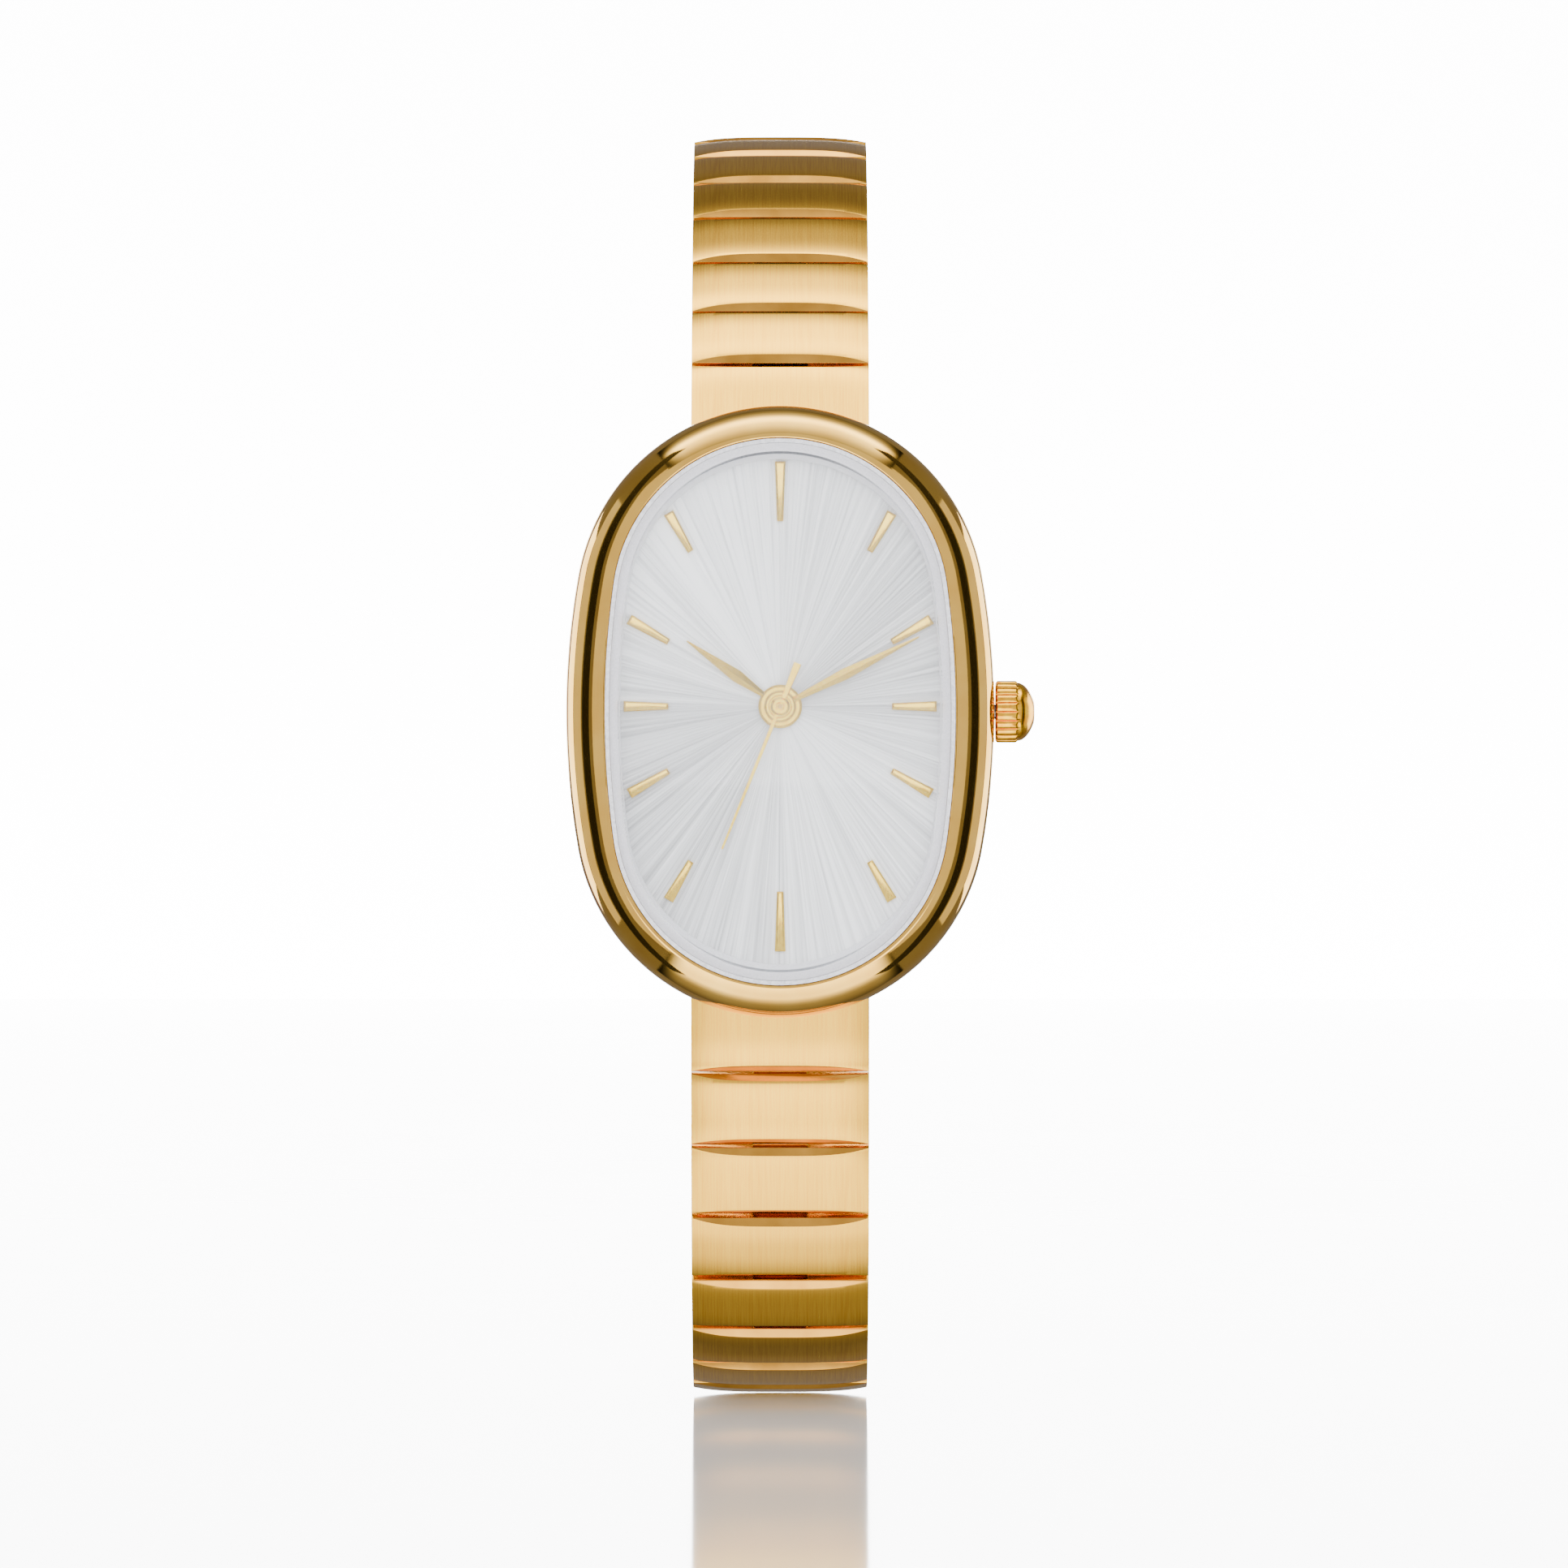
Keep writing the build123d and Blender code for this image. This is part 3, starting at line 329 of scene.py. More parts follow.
def sunray_silver():
    """Brass brushed from the centre, silvered and lacquered: fine radial streaks, with a painted highlight
    and painted shade in opposite fans where the brushing would catch the light.
    """
    material, tree, place = new_material("sunray-brushed silvered dial")
    shift = (0.0, 0.0, -DIAL_CENTRE.y * MM)
    centred = add(tree, "ShaderNodeMapping", {"Vector": place, "Location": shift}).outputs["Vector"]
    split = add(tree, "ShaderNodeSeparateXYZ", {"Vector": centred}).outputs
    angle = compute(tree, "ARCTAN2", split["X"], split["Z"])
    length = add(tree, "ShaderNodeVectorMath", {0: centred}, operation="LENGTH").outputs["Value"]
    ray_place = add(tree, "ShaderNodeCombineXYZ", {"X": angle, "Y": length}).outputs["Vector"]
    fine = grain(tree, stretch(tree, ray_place, (60.0, 60.0, 1.0)), 1.0, 3.0, 0.7)
    broad = grain(tree, stretch(tree, ray_place, (4.0, 10.0, 1.0)), 1.0, 2.0)
    # Painted highlight and shade: a sine of twice the angle brightens two opposite fans of the colour and
    # darkens the two between
    painted_sheen_fan = compute(tree, "SINE", compute(tree, "MULTIPLY_ADD", angle, 2.0, SHEEN_TURN))
    streaks = add(tree, "ShaderNodeMix", {0: 0.2, 2: fine, 3: broad}).outputs[0]
    streaks_and_sheen = compute(tree, "MULTIPLY_ADD", painted_sheen_fan, 0.09, streaks)
    tone = tint(tree, streaks_and_sheen, "#97979A", "#FBFBFC", 0.28, 0.66)
    finish_material(
        tree, tone, 0.25, spread(tree, fine, 0.32, 0.5), dent(tree, fine, 0.1, 0.004),
        **{"Coat Weight": 0.3, "Coat Roughness": 0.08},
    )
    return material


def mineral_glass():
    """Ground and polished mineral glass: clear, with a faint smear from handling; lamps shine through it."""
    material, tree, place = new_material("polished mineral glass")
    smear = grain(tree, place, 1 / (3.0 * MM), 2.0)
    shader = finish_material(
        tree, linear("#FBFCFD"), 0.0, spread(tree, smear, 0.0, 0.03), dent(tree, smear, 0.02, 0.002),
        **{"Transmission Weight": 1.0, "IOR": 1.5},
    )
    lamp = add(tree, "ShaderNodeLightPath").outputs["Is Shadow Ray"]
    clear = add(tree, "ShaderNodeBsdfTransparent", {"Color": linear("#F6F8F8")}).outputs["BSDF"]
    mixed = add(tree, "ShaderNodeMixShader", {0: lamp, 1: shader.outputs["BSDF"], 2: clear}).outputs["Shader"]
    output = next(item for item in tree.nodes if item.type == "OUTPUT_MATERIAL")
    tree.links.new(mixed, output.inputs["Surface"])
    return material


def make_materials():
    """Every finish of the watch, by a short key."""
    brushed = {"along": (0.04, 1.0, 1.0), "bump": 0.1, "depth": 0.005}
    frosted = {"Transmission Weight": 0.25, "IOR": 1.5}
    return {
        "case": polished_gold_plate("polished gold-plated brass", "#E9B34C", "#F4C25A", 0.06),
        "strap": brushed_gold_steel(),
        "bevel": polished_gold_plate("polished link bevel", "#BC8430", "#DCA040", 0.14),
        # Sawn link ends under the bevels, set back in the gaps between links: plated but left matt, and
        # painted near black as the shade in those gaps
        "edge": grained("matt plated link end", "#32200C", "#4A3012", 0.6, (0.4, 0.55), 0.08),
        # Turned, knurled and plated: richer yellow than the case, a little rough from handling
        "crown": grained(
            "knurled gold-plated crown", "#EE9E12", "#FFC42C", 1.0, (0.12, 0.3), 0.35, depth=0.01, detail=4.0
        ),
        # Diamond-cut brass, plated: bright facets with faint cutting marks
        "hand": grained(
            "diamond-cut gold-plated brass", "#E2B436", "#F6D45A", 1.0, (0.1, 0.24), 0.06, 0.06, 0.004, 2.0,
            (1.0, 1.0, 0.2),
        ),
        "dial": sunray_silver(),
        # Injection-moulded ring: satin off-white with a very fine texture
        "ring": grained("moulded pale acetal", "#E4E3E9", "#F4F3F8", 0.0, (0.25, 0.42), 0.12, 0.05, 0.004),
        "glass": mineral_glass(),
        # Bevel and side of the glass, ground and left matt: frosted pale grey that hides the packing
        "rim": grained(
            "ground glass rim", "#DFDEE5", "#F1F0F6", 0.0, (0.3, 0.45), 0.1, 0.06, 0.004, **frosted
        ),
        # Clear PVC packing pressed round the glass: cloudy where it is squeezed
        "packing": grained("clear PVC packing", "#CFCFD4", "#ECECF0", 0.0, (0.2, 0.35), 0.2),
        # Stainless steel brushed one way: grey with fine straight lines
        "back": grained("brushed stainless steel", "#A4A6A9", "#CFD1D3", 1.0, (0.28, 0.42), 0.09, **brushed),
        # Nitrile rubber: matt black with a slight bloom
        "rubber": grained("moulded nitrile rubber", "#141416", "#222225", 0.0, (0.55, 0.75), 0.08),
        # Acetal spacer: cream, satin from the mould
        "spacer": grained("moulded cream acetal", "#DED8C8", "#EDE8DB", 0.0, (0.35, 0.5), 0.1),
        # Nickel-plated brass plate: satin from fine blasting
        "plate": grained("blasted nickel-plated brass", "#B8A678", "#D3C397", 1.0, (0.3, 0.45), 0.06),
        # Nickel-plated bridge, brushed one way
        "bridge": grained("brushed nickel bridge", "#AEB0B2", "#D2D4D5", 1.0, (0.28, 0.42), 0.09, **brushed),
        # Deep-drawn nickel can: smooth with faint drawing haze
        "cell": grained("drawn nickel can", "#B4B6B8", "#D6D8DA", 1.0, (0.15, 0.28), 0.5, 0.04),
        # Epoxy board under solder mask: glossy green over woven glass
        "board": grained("solder-masked epoxy board", "#1E4A2E", "#2F6A44", 0.0, (0.25, 0.4), 0.15),
        # Soft iron, stamped and annealed: dull grey
        "iron": grained("annealed soft iron", "#6E6F71", "#8E8F91", 1.0, (0.4, 0.55), 0.12),
        # Enamelled copper wire of 0.02 mm, drawn coarser: orange sheen
        "copper": grained("enamelled copper winding", "#9A4B22", "#C9763F", 1.0, (0.3, 0.45), 0.05, 0.2),
        # Stamped brass wheels, gilt: fine radial haze
        "wheel": grained("gilt stamped brass", "#B78F3C", "#D9B564", 1.0, (0.22, 0.36), 0.07),
        # Turned and hardened steel: bright with fine rings
        "arbor": grained("turned hardened steel", "#8F9295", "#B8BBBE", 1.0, (0.2, 0.34), 0.06),
    }


finishes = {}


# Shapes

def oval_points(oval, count, inset=0.0):
    """Points round the oval's four arcs, evenly by angle, as (x, up) in millimetres."""
    half_width, half_length = oval
    end_radius = half_width * END_ARC_SHARE
    lift = half_length - end_radius
    flank_radius = (half_width**2 + lift**2 - end_radius**2) / (2 * (half_width - end_radius))
    back_off = flank_radius - half_width
    lean = math.atan2(lift, back_off)
    arcs = (
        (-back_off, 0.0, flank_radius, -lean, lean), (0.0, lift, end_radius, lean, math.pi - lean),
        (back_off, 0.0, flank_radius, math.pi - lean, math.pi + lean),
        (0.0, -lift, end_radius, math.pi + lean, 2 * math.pi - lean),
    )
    points = []
    for middle_x, middle_y, radius, start, end in arcs:
        steps = round(count * (END_POINT_SHARE if radius < half_length else FLANK_POINT_SHARE))
        for step in range(steps):
            turn = start + (end - start) * step / steps
            reach = radius - inset
            points.append((middle_x + reach * math.cos(turn), middle_y + reach * math.sin(turn)))
    return points


def at_level(points, height):
    """Points of an outline at a height above the case back, in metres in the watch's frame."""
    return [Vector((x * MM, -height * MM, up * MM)) for x, up in points]


def oval_loops(oval, count, stations):
    """Loops of an oval through (inset, height) stations in millimetres."""
    return [at_level(oval_points(oval, count, inset), height) for inset, height in stations]


def skin(bm, loops, ring=False):
    """Skin closed loops one after another; a ring is closed on itself, and anything else gets end faces."""
    rim = [bm.verts.new(point) for point in loops[0]]
    edges = [bm.edges.new((rim[place], rim[(place + 1) % len(rim)])) for place in range(len(rim))]
    if not ring:
        bm.faces.new(rim)
    start_edges = edges
    for loop in loops[1:]:
        made = bmesh.ops.extrude_edge_only(bm, edges=edges)["geom"]
        fresh = {item for item in made if isinstance(item, bmesh.types.BMVert)}
        edges = [
            item for item in made if isinstance(item, bmesh.types.BMEdge) and fresh.issuperset(item.verts)
        ]
        rim = [
            next(end for edge in vertex.link_edges if (end := edge.other_vert(vertex)) in fresh)
            for vertex in rim
        ]
        for vertex, point in zip(rim, loop):
            vertex.co = point
    if ring:
        bmesh.ops.bridge_loops(bm, edges=start_edges + edges)
    else:
        bmesh.ops.contextual_create(bm, geom=edges)


def to_object(bm, name, keys, body, replaced=(), smooth=30.0):
    """Turn a bmesh into a piece that rides on a body."""
    bmesh.ops.recalc_face_normals(bm, faces=bm.faces)
    mesh = bpy.data.meshes.new(name)
    bm.to_mesh(mesh)
    bm.free()
    place_mesh(mesh, name, keys, body, replaced, smooth)


def place_mesh(mesh, name, keys, body, replaced=(), smooth=30.0):
    """Give a mesh its object, materials, smooth shading and body."""
    for key in keys:
        mesh.materials.append(finishes[key])
    mesh.polygons.foreach_set("use_smooth", [True] * len(mesh.polygons))
    mesh.set_sharp_from_angle(angle=math.radians(smooth))
    piece = bpy.data.objects.new(name, mesh)
    bpy.context.scene.collection.objects.link(piece)
    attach(piece, body)
    if replaced:
        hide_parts(*replaced)


def merged_copy(node):
    """A node's mesh with its loose triangles joined, ready to be cut or bevelled."""
    bm = bmesh.new()
    bm.from_mesh(nodes[node].data)
    bmesh.ops.remove_doubles(bm, verts=bm.verts, dist=WELD * MM)
    bmesh.ops.dissolve_limit(
        bm, angle_limit=FLAT_ANGLE, verts=bm.verts, edges=bm.edges, use_dissolve_boundaries=False
    )
    return bm


def baked(piece):
    """Mesh of an object with its modifiers applied; the object is removed."""
    bpy.context.view_layer.update()
    graph = bpy.context.evaluated_depsgraph_get()
    mesh = bpy.data.meshes.new_from_object(piece.evaluated_get(graph))
    bpy.data.objects.remove(piece)
    return mesh


def bevelled(bm, width, angle=30.0):
    """Round the sharp edges of a bmesh by a width in the mesh's own unit."""
    sharp = [edge for edge in bm.edges if len(edge.link_faces) == 2
             and edge.calc_face_angle(0.0) > math.radians(angle)]
    bmesh.ops.bevel(
        bm, geom=sharp, offset=width, segments=2, profile=0.5, affect="EDGES", material=-1,
        clamp_overlap=True,
    )


def paint(node, key):
    """Give a carried-over node its finish."""
    mesh = nodes[node].data
    mesh.materials.clear()
    mesh.materials.append(finishes[key])


# Case, glass and dial

class WatchCaseSizes(bpy.types.PropertyGroup):
    """Sizes of the dressed case, glass and dial ring."""

    steps: bpy.props.IntProperty(
        name="Outline steps", description="Points round each oval outline", default=220, min=40
    )
    dome_radius: bpy.props.FloatProperty(
        name="Dome radius", description="Radius of the case's rounded front edge, in millimetres", default=2.4
    )
    dome_steps: bpy.props.IntProperty(
        name="Dome steps", description="Rows of faces on the rounded front edge", default=18, min=4
    )
    lip_radius: bpy.props.FloatProperty(
        name="Lip radius", description="Rounding at the glass opening, in millimetres", default=0.12
    )
    glass_bevel: bpy.props.FloatProperty(
        name="Glass bevel", description="Width of the glass's ground rim, in millimetres", default=0.5
    )


class WATCH_OT_case(bpy.types.Operator):
    """Polished case with its domed front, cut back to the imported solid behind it"""

    bl_idname = "watch.case"
    bl_label = "Case"

    def execute(self, context):
        sizes = context.scene.watch_case
        bm = merged_copy("case_body")
        cut = bmesh.ops.bisect_plane(
            bm, geom=bm.verts[:] + bm.edges[:] + bm.faces[:], dist=1e-7,
            plane_co=(0, -SPLIT_LEVEL * MM, 0), plane_no=(0, -1, 0), clear_outer=True,
        )
        rims = [item for item in cut["geom_cut"] if isinstance(item, bmesh.types.BMEdge)]
        bmesh.ops.triangle_fill(bm, use_beauty=True, use_dissolve=False, edges=rims)
        radius, count = sizes.dome_radius, sizes.steps
        outer = oval_points(CASE_OVAL, count)
        opening = oval_points(OPENING_OVAL, count)
        shoulder = CREST - radius
        loops = [at_level(outer, SPLIT_LEVEL), at_level(outer, shoulder)]
        for step in range(1, sizes.dome_steps + 1):
            loop = []
            for (x, up), (in_x, in_up) in zip(outer, opening):
                span = math.hypot(in_x - x, in_up - up)
                free = min(span - sizes.lip_radius, radius)
                turn = math.acos(max(-1.0, 1 - free / radius)) * step / sizes.dome_steps
                blend = radius * (1 - math.cos(turn)) / span
                x += (in_x - x) * blend
                up += (in_up - up) * blend
                loop.append(Vector((x * MM, -(shoulder + radius * math.sin(turn)) * MM, up * MM)))
            loops.append(loop)
        dome_edge = loops[-1]
        for share in LIP_SHARES:
            turn = share * math.pi / 2
            drop = sizes.lip_radius * (1 - math.cos(turn))
            loop = []
            for point, (in_x, in_up) in zip(dome_edge, opening):
                x = point.x + (in_x * MM - point.x) * math.sin(turn)
                up = point.z + (in_up * MM - point.z) * math.sin(turn)
                loop.append(Vector((x, point.y + drop * MM, up)))
            loops.append(loop)
        loops.append(at_level(opening, GLASS_SEAT))
        loops += oval_loops(CHAMBER_OVAL, count, ((0.0, GLASS_SEAT), (0.0, DIAL_SEAT)))
        loops += oval_loops(CAVITY_OVAL, count, ((0.0, DIAL_SEAT), (0.0, SPLIT_LEVEL)))
        skin(bm, loops, ring=True)
        to_object(bm, "case_shell", ["case"], "case", ["case_body"], 32.0)
        return {"FINISHED"}


class WATCH_OT_glass(bpy.types.Operator):
    """Bevelled glass, its packing and the pale ring under it"""

    bl_idname = "watch.glass"
    bl_label = "Glass and ring"

    def execute(self, context):
        sizes = context.scene.watch_case
        count = sizes.steps
        inner = GLASS_INSET + sizes.glass_bevel
        side_top = GLASS_TOP - GLASS_BEVEL_DROP
        face_run, face_fall = GLASS_FACE_ROUND
        bm = bmesh.new()
        skin(bm, oval_loops(OPENING_OVAL, count, (
            (GLASS_INSET, GLASS_SEAT), (GLASS_INSET, side_top),
            (GLASS_INSET + GLASS_ROUND, side_top + GLASS_ROUND), (inner - GLASS_ROUND, GLASS_TOP - face_fall),
            (inner + face_run, GLASS_TOP),
        )))
        bm.normal_update()
        for face in bm.faces:
            face.material_index = int(abs(face.normal.y) < RIM_LEAN)
        to_object(bm, "glass", ["glass", "rim"], "case", ["crystal"], 12.0)
        bm = bmesh.new()
        skin(bm, oval_loops(OPENING_OVAL, count, (
            (RING_CLEARANCE, GLASS_SEAT), (RING_CLEARANCE, GLASS_SEAT + PACKING_HEIGHT),
            (GLASS_INSET - RING_CLEARANCE, GLASS_SEAT + PACKING_HEIGHT),
            (GLASS_INSET - RING_CLEARANCE, GLASS_SEAT),
        )), ring=True)
        to_object(bm, "glass_packing", ["packing"], "case", ["crystal_gasket"])
        bm = bmesh.new()
        outside = oval_loops(CHAMBER_OVAL, count, ((RING_CLEARANCE, DIAL_TOP), (RING_CLEARANCE, GLASS_SEAT)))
        skin(bm, outside + oval_loops(WINDOW_OVAL, count, (
            (-RING_SLOPE, GLASS_SEAT), (-RING_ROUND, GLASS_SEAT + RING_ROUND - RING_SLOPE),
            (0.0, GLASS_SEAT - RING_LIP), (0.0, DIAL_TOP),
        )), ring=True)
        to_object(bm, "dial_ring_moulding", ["ring"], "case", ["dial_ring"])
        return {"FINISHED"}


class WATCH_OT_dial(bpy.types.Operator):
    """Sunray dial and its applied markers"""

    bl_idname = "watch.dial"
    bl_label = "Dial and markers"

    def execute(self, context):
        paint("dial", "dial")
        bm = merged_copy("hour_markers")
        bevelled(bm, MARKER_ROUND * MM, angle=25.0)
        to_object(bm, "applied_markers", ["hand"], "case", ["hour_markers"])
        return {"FINISHED"}


# Hands and crown

class WatchHandSizes(bpy.types.PropertyGroup):
    """Sizes of the hands, in millimetres."""

    hour_length: bpy.props.FloatProperty(name="Hour hand", description="Reach of the hour hand", default=6.4)
    minute_length: bpy.props.FloatProperty(
        name="Minute hand", description="Reach of the minute hand", default=8.7
    )
    second_length: bpy.props.FloatProperty(
        name="Second hand", description="Reach of the second hand", default=8.6
    )
    hour_width: bpy.props.FloatProperty(
        name="Hour width", description="Widest part of the hour hand", default=0.72
    )
    minute_width: bpy.props.FloatProperty(
        name="Minute width", description="Widest part of the minute hand", default=0.66
    )


def dial_placed(angle):
    """Matrix from a hand's own frame in millimetres, +Y along it and +Z towards the glass, to the watch."""
    stand = Matrix.Rotation(math.radians(90), 4, "X")
    turn = Matrix.Rotation(math.radians(-angle), 4, "Z")
    shift = Matrix.Translation((DIAL_CENTRE.x, DIAL_CENTRE.y, 0))
    return Matrix.Scale(MM, 4) @ stand @ shift @ turn


def blade(bm, base, stations):
    """Ridged blade on its base level through (reach, half width, rise of the ridge) stations."""
    skin(bm, [
        [Vector((-half, reach, base)), Vector((half, reach, base)),
         Vector((half * FLANK_SHARE, reach, base + FLANK_RISE)), Vector((0, reach, base + rise)),
         Vector((-half * FLANK_SHARE, reach, base + FLANK_RISE))]
        for reach, half, rise in stations
    ])


def turned(bm, profile, steps=64):
    """Spin a closed (radius, height) profile round the upright axis."""
    verts = [bm.verts.new((radius, 0, height)) for radius, height in profile]
    edges = [bm.edges.new((verts[place], verts[(place + 1) % len(verts)])) for place in range(len(verts))]
    bmesh.ops.spin(
        bm, geom=verts + edges, cent=(0, 0, 0), axis=(0, 0, 1), angle=2 * math.pi, steps=steps, use_merge=True
    )
    bmesh.ops.remove_doubles(bm, verts=bm.verts, dist=0.0005)


def hub_profile(radius, bore, base, top):
    """Turned collar: steep outer chamfer, shallow groove, raised lip round the bore."""
    rise = top - base
    floor = top - rise * HUB_GROOVE_DEPTH
    outer, outer_foot, inner_foot, inner = (radius * share for share in HUB_GROOVE)
    return [
        (bore, base), (radius, base), (radius, base + rise * HUB_SIDE), (radius - rise * HUB_CHAMFER, top),
        (outer, top), (outer_foot, floor), (inner_foot, floor), (inner, top), (bore, top),
    ]


def pointed_hand(base, length, width, root, start, wide_share, tip_half, hub):
    """Blade that is widest at a share of its length, with a collar of the hub's radius and bore."""
    bm = bmesh.new()
    blade(bm, base, (
        (root, BLADE_ROOT_HALF, RIDGE_END), (start + (length - start) * wide_share, width / 2, RIDGE),
        (length - POINT_LENGTH, tip_half, RIDGE_END), (length, POINT_HALF, RIDGE / 2),
    ))
    turned(bm, hub_profile(*hub, base, base + RIDGE))
    return bm


def finish_hand(bm, angle, name, body, node):
    """Turn a hand into place and hand it over."""
    bm.transform(dial_placed(angle))
    to_object(bm, name, ["hand"], body, [node], 20.0)


class WATCH_OT_hands(bpy.types.Operator):
    """Faceted hour, minute and second hands with turned collars"""

    bl_idname = "watch.hands"
    bl_label = "Hands"

    def execute(self, context):
        sizes = context.scene.watch_hands
        level, angle = HOUR_PLACE
        bm = pointed_hand(level, sizes.hour_length, sizes.hour_width, *HOUR_SHAPE)
        finish_hand(bm, angle, "hour_hand_cut", "hours", "hour_hand")
        level, angle = MINUTE_PLACE
        bm = pointed_hand(level, sizes.minute_length, sizes.minute_width, *MINUTE_SHAPE)
        finish_hand(bm, angle, "minute_hand_cut", "minutes", "minute_hand")
        level, angle = SECOND_PLACE
        top = level + SECOND_RISE
        bm = bmesh.new()
        skin(bm, [
            [Vector((-half, reach, level)), Vector((half, reach, level)),
             Vector((half * SECOND_TOP_SHARE, reach, top)), Vector((-half * SECOND_TOP_SHARE, reach, top))]
            for reach, half in (*SECOND_STATIONS, (sizes.second_length, SECOND_TIP_HALF))
        ])
        turned(bm, [(radius, level + rise) for radius, rise in SECOND_HUB])
        finish_hand(bm, angle, "second_hand_cut", "seconds", "second_hand")
        return {"FINISHED"}


class WatchCrownSizes(bpy.types.PropertyGroup):
    """Sizes of the crown, in millimetres."""

    radius: bpy.props.FloatProperty(name="Radius", description="Radius over the ribs", default=1.75)
    flutes: bpy.props.IntProperty(
        name="Ribs", description="Number of ribs round the crown", default=20, min=8
    )
    depth: bpy.props.FloatProperty(
        name="Groove depth", description="Depth of the grooves between ribs", default=0.16
    )


def crown_loop(sizes, along, inset, share):
    """One ring of the crown, inset from its radius; share says how deep its grooves are."""
    count = sizes.flutes * RIB_STEPS
    points = []
    for place in range(count):
        wave = abs(math.sin(math.pi * place / RIB_STEPS)) ** RIB_POWER
        reach = sizes.radius - inset - sizes.depth * share * (1 - wave)
        turn = 2 * math.pi * place / count
        level = CROWN_HEIGHT - reach * math.cos(turn)
        points.append(Vector(((CROWN_START + along) * MM, -level * MM, reach * math.sin(turn) * MM)))
    return points


class WATCH_OT_crown(bpy.types.Operator):
    """Ribbed crown with a domed end"""

    bl_idname = "watch.crown"
    bl_label = "Crown"

    def execute(self, context):
        stations = list(CROWN_STATIONS)
        for step in range(CAP_STEPS + 1):
            turn = CAP_TURN * step / CAP_STEPS
            along = CROWN_CAP_START + CROWN_CAP_LENGTH * math.sin(turn) / math.sin(CAP_TURN)
            inset = CROWN_CAP_INSET + CROWN_CAP_FALL * (1 - math.cos(turn)) / (1 - math.cos(CAP_TURN))
            stations.append((along, inset, 0))
        bm = bmesh.new()
        skin(bm, [crown_loop(context.scene.watch_crown, *station) for station in stations])
        to_object(bm, "crown_ribbed", ["crown"], "crown", ["crown"], 35.0)
        return {"FINISHED"}


# Strap

class WatchStrapSizes(bpy.types.PropertyGroup):
    """Sizes of the strap links, in millimetres."""

    width: bpy.props.FloatProperty(name="Width", description="Width of the strap", default=10.0)
    bevel: bpy.props.FloatProperty(
        name="End bevel", description="Length of the polished bevel at a link's middle", default=0.3
    )
    edge_round: bpy.props.FloatProperty(
        name="Edge rounding", description="Rounding of a link's edges", default=0.07
    )
    tongue_width: bpy.props.FloatProperty(name="Lug width", description="Width of the hinge lug", default=3.0)


def arched_bar(width, near, far, flat=None):
    """Bar with a crowned outer face, in millimetres, X across and Y along; it falls away towards its ends."""
    half = width / 2
    middle = (near + far) / 2 if flat is None else flat
    loops = []
    for station in range(LINK_STATIONS + 1):
        along = near + (far - near) * station / LINK_STATIONS
        share = (along - middle) / (far - middle)
        fall = LINK_FALL * abs(share)**END_CURVE if flat is None or share > 0 else 0.0
        loop = [Vector((-half, along, -LINK_UNDER)), Vector((half, along, -LINK_UNDER))]
        for step in range(LINK_STEPS + 1):
            across = math.sin(math.pi / 2 * (1 - 2 * step / LINK_STEPS))
            level = EDGE_TOP + CROWN_RISE * (1 - abs(across)**SIDE_CURVE) - fall
            loop.append(Vector((half * across, along, level)))
        loops.append(loop)
    bm = bmesh.new()
    skin(bm, loops)
    bmesh.ops.recalc_face_normals(bm, faces=bm.faces)
    return bm


def slice_off(bm, spot, normal, material=0):
    """Cut a link by a plane, drop the outer side and close the cut."""
    made = bmesh.ops.bisect_plane(
        bm, geom=bm.verts[:] + bm.edges[:] + bm.faces[:], dist=1e-5, plane_co=spot, plane_no=normal,
        clear_outer=True,
    )
    rim = [item for item in made["geom_cut"] if isinstance(item, bmesh.types.BMEdge)]
    for item in bmesh.ops.contextual_create(bm, geom=rim)["faces"]:
        item.material_index = material


def link_ends(bm, near, far, bevel):
    """Bevel both ends of a link above its edge line and set them back below its pin line."""
    slope = CROWN_RISE / bevel
    # Material 1 is the polished bevel; material 2, on the set-back faces, is the dark finish with the painted
    # gap shade
    if near is not None:
        slice_off(bm, (0, near, EDGE_TOP - LINK_FALL), (0, -slope, 1), 1)
        slice_off(bm, (0, near, 0), (0, -SET_BACK_SLOPE, -1), 2)
    slice_off(bm, (0, far, EDGE_TOP - LINK_FALL), (0, slope, 1), 1)
    slice_off(bm, (0, far, 0), (0, SET_BACK_SLOPE, -1), 2)


def plain_part(bm):
    """Temporary object for a boolean."""
    bmesh.ops.recalc_face_normals(bm, faces=bm.faces)
    mesh = bpy.data.meshes.new("part")
    bm.to_mesh(mesh)
    bm.free()
    part = bpy.data.objects.new("part", mesh)
    bpy.context.scene.collection.objects.link(part)
    return part


def box_part(low, high):
    """Box for cutting pockets."""
    bm = bmesh.new()
    bmesh.ops.create_cube(bm, size=1.0)
    size = [high[axis] - low[axis] for axis in range(3)]
    middle = [(high[axis] + low[axis]) / 2 for axis in range(3)]
    bmesh.ops.scale(bm, vec=size, verts=bm.verts)
    bmesh.ops.translate(bm, vec=middle, verts=bm.verts)
    return plain_part(bm)


def bar_part(radius, half, along=0.0, steps=28):
    """Round bar across the strap."""
    bm = bmesh.new()
    bmesh.ops.create_cone(
        bm, cap_ends=True, segments=steps, radius1=radius, radius2=radius, depth=2 * half,
        matrix=Matrix.Translation((0, along, 0)) @ Matrix.Rotation(math.radians(90), 4, "Y"),
    )
    return plain_part(bm)


